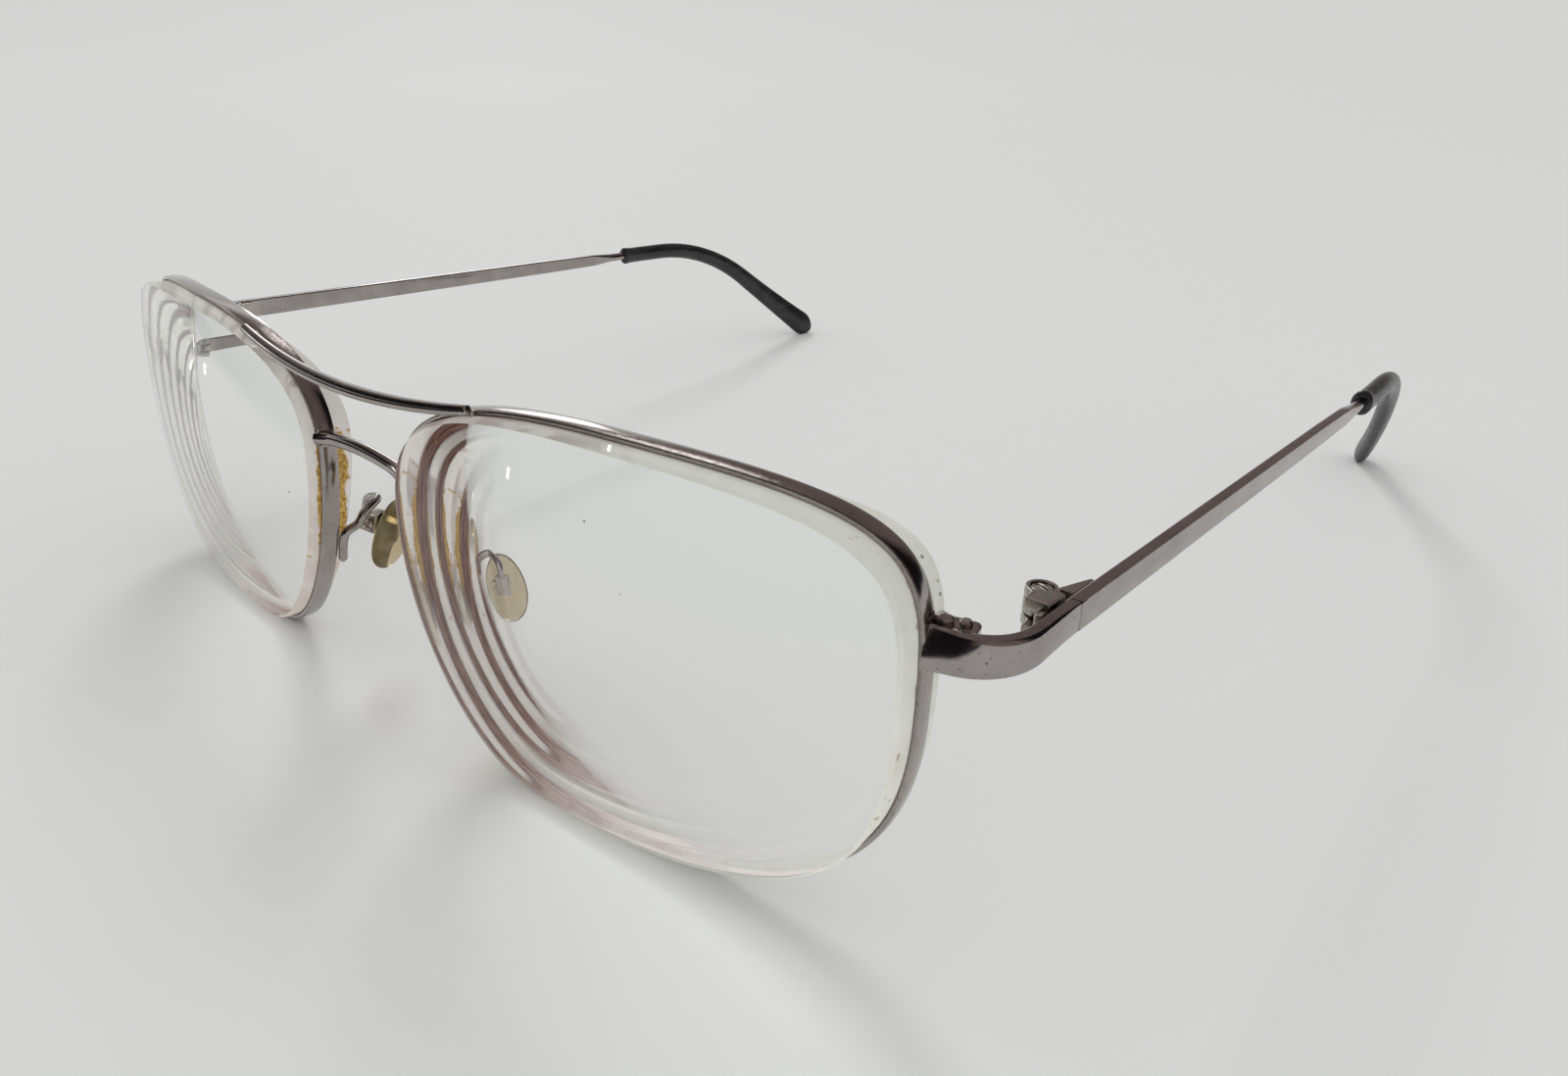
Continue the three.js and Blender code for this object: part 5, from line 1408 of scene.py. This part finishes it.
# %% Dark canopy
CANOPY_RADIUS, CANOPY_TOP = 1.7, 0.98  # metres; share of the way up where it is left open
CANOPY_ROWS, CANOPY_SIDES = 30, 120
CANOPY_AZIMUTH = (0, 60, 115, 135, 150, 190, 208, 235, 310)
CANOPY_LOW = (-4, -4, 2, 13, 23, 23, 6, -9, -9)  # elevation of its lower edge at those azimuths
APRON_Y, APRON_Z = np.array([[-0.13], [-0.15], [-1.6]]), np.array([[0.003], [0.003], [0.06]])
APRON_LEFT, APRON_RIGHT, APRON_FAN, APRON_FADE = -1.6, 0.07, 0.83, 0.04
FADE = 9  # degrees above the canopy's edge at which it is solid

around = np.linspace(0, 360, CANOPY_SIDES, endpoint=False)
climb, azimuth = np.meshgrid(np.linspace(0, CANOPY_TOP, CANOPY_ROWS), around, indexing="ij")
canopy_low = np.interp(azimuth, CANOPY_AZIMUTH, CANOPY_LOW, period=360)
above_edge = (90 - canopy_low) * climb
canopy_up, canopy_turn = np.radians(canopy_low + above_edge), np.radians(azimuth)
canopy_grid = CANOPY_RADIUS * np.stack([
    np.cos(canopy_up) * np.cos(canopy_turn), np.cos(canopy_up) * np.sin(canopy_turn), np.sin(canopy_up),
], -1)
apron_right = APRON_RIGHT + APRON_FAN * (APRON_Y[0] - APRON_Y)
apron_x = np.hstack([np.full((3, 1), APRON_LEFT), apron_right - APRON_FADE, apron_right])
apron_grid = np.stack(np.broadcast_arrays(apron_x, APRON_Y, APRON_Z), -1)
apron_quads = grid_faces(3, 3, False).reshape(2, 3, 4)[:, :2].reshape(-1, 4)  # without those that loop
apron_above = np.array([[0, 0, 0], [FADE, FADE, 0], [FADE, FADE, 0]])
dark_points = np.vstack([canopy_grid.reshape(-1, 3), apron_grid.reshape(-1, 3)])
dark_faces = grid_faces(*climb.shape, False).tolist() + (climb.size + apron_quads).tolist()
canopy_mesh = bpy.data.meshes.new("dark_canopy")
canopy_mesh.from_pydata(dark_points.tolist(), [], dark_faces)
add_attribute(canopy_mesh, "height", np.concatenate([above_edge.ravel(), apron_above.ravel()]))
canopy = add_object("dark_canopy", canopy_mesh)
canopy.visible_camera = canopy.visible_diffuse = canopy.visible_shadow = canopy.visible_transmission = False
print("canopy and apron:", len(dark_faces), "faces")


# %% Canopy finish
def canopy_finish():
    """Matt brown, black low in front and at the back on the wearer's left, see-through at its edge."""
    material, tree, shader = new_material("dark_canopy")
    axes = add_node(tree, "ShaderNodeSeparateXYZ", Vector=object_place(tree)).outputs
    in_front = times(tree, remap(tree, axes["Y"], -0.12, -0.05, 1, 0), remap(tree, axes["X"], 0.5, 1.0, 1, 0))
    low_down = remap(tree, axes["Z"], 0.8, 1.3, 1, 0)
    left_back = times(tree, remap(tree, axes["Y"], 0.3, 0.7), remap(tree, axes["X"], 0.3, 0.7))
    black = maths(tree, "MAXIMUM", times(tree, in_front, low_down), left_back)
    brown = blend_colour(tree, black, (0.30, 0.24, 0.235), (0.018, 0.016, 0.018))
    set_inputs(tree, shader, Base_Color=brown, Roughness=1, Specular_IOR_Level=0)
    open_edge = add_node(tree, "ShaderNodeBsdfTransparent").outputs["BSDF"]
    solid = remap(tree, attribute(tree, "height"), 0, FADE)
    show(tree, mix_shaders(tree, solid, open_edge, shader.outputs["BSDF"]))
    return material


canopy_brown = canopy_finish()
canopy_mesh.materials.append(canopy_brown)
print("canopy finish:", len(canopy_brown.node_tree.nodes), "nodes")

# %% [markdown]
# ## World
# The world is an even pale grey. Rays from the camera, and those that metal mirrors or glass lets
# through, see it a little brighter than the light that it gives, as a pale studio wall.

# %% World
WORLD_LIGHT, WORLD_SEEN = 0.78, 0.95

world = bpy.data.worlds.new("studio")
bpy.context.scene.world = world
world.use_nodes = True
world_tree = world.node_tree
ray = add_node(world_tree, "ShaderNodeLightPath").outputs
seen = maths(world_tree, "MAXIMUM", ray["Is Camera Ray"], ray["Is Glossy Ray"])
seen = maths(world_tree, "MAXIMUM", seen, ray["Is Transmission Ray"])
set_inputs(
    world_tree, world_tree.nodes["Background"], Color=(0.95, 0.95, 0.945, 1),
    Strength=remap(world_tree, seen, 0, 1, WORLD_LIGHT, WORLD_SEEN),
)
print("world:", WORLD_LIGHT, "as light,", WORLD_SEEN, "as seen")

# %% [markdown]
# ## Camera
# The camera stands close, in front on the wearer's left and a little above, which is why the near
# lens looks so much larger than the far one. Its place and angles come from fitting the spectacles'
# sizes to the view. Rays may bounce often, because with fewer bounces those that are caught between
# the faces of a lens end in black.

# %% Camera
CAMERA_YAW, CAMERA_PITCH, CAMERA_ROLL = math.radians(40.51), math.radians(26.01), math.radians(-0.17)
CAMERA_PLACE = np.array([98.6, -49.1, 68.7])  # from the middle, the lens centres' plane and the table
FOCAL_LENGTH, SENSOR, NEAREST = 24.75, 36.0, 0.002
BOUNCES, GLOSSY_BOUNCES = 24, 16

level_ahead = np.array([-math.sin(CAMERA_YAW), math.cos(CAMERA_YAW), 0])
forward = level_ahead * math.cos(CAMERA_PITCH) - upright * math.sin(CAMERA_PITCH)
level_right = np.array([math.cos(CAMERA_YAW), math.sin(CAMERA_YAW), 0])
right = math.cos(CAMERA_ROLL) * level_right + math.sin(CAMERA_ROLL) * np.cross(forward, level_right)
camera_data = bpy.data.cameras.new("camera")
camera_data.sensor_width, camera_data.lens, camera_data.clip_start = SENSOR, FOCAL_LENGTH, NEAREST
camera = add_object("camera", camera_data)
camera_axes = np.column_stack([right, -np.cross(forward, right), -forward])
camera_place = (CAMERA_PLACE + np.array([0, SHIFT[1], 0])) * MM
camera.matrix_world = Matrix.Translation(camera_place.tolist()) @ Matrix(camera_axes.tolist()).to_4x4()
bpy.context.scene.camera = camera
bpy.context.scene.view_settings.view_transform = "Standard"
bpy.context.scene.cycles.max_bounces = BOUNCES
bpy.context.scene.cycles.transmission_bounces = BOUNCES
bpy.context.scene.cycles.glossy_bounces = GLOSSY_BOUNCES
print("camera at", np.round(camera_place, 3))

# %% [markdown]
# ## Finish
# The tongues inside the pads keep their imported shape and get the bare metal.

# %% Tongues and totals
for side, _ in SIDES:
    lug = frame["nodes"][f"{side}_pad_lug"]
    lug.data.materials.clear()
    lug.data.materials.append(steel)

print("pieces:", len(made), "faces:", sum(made.values()))
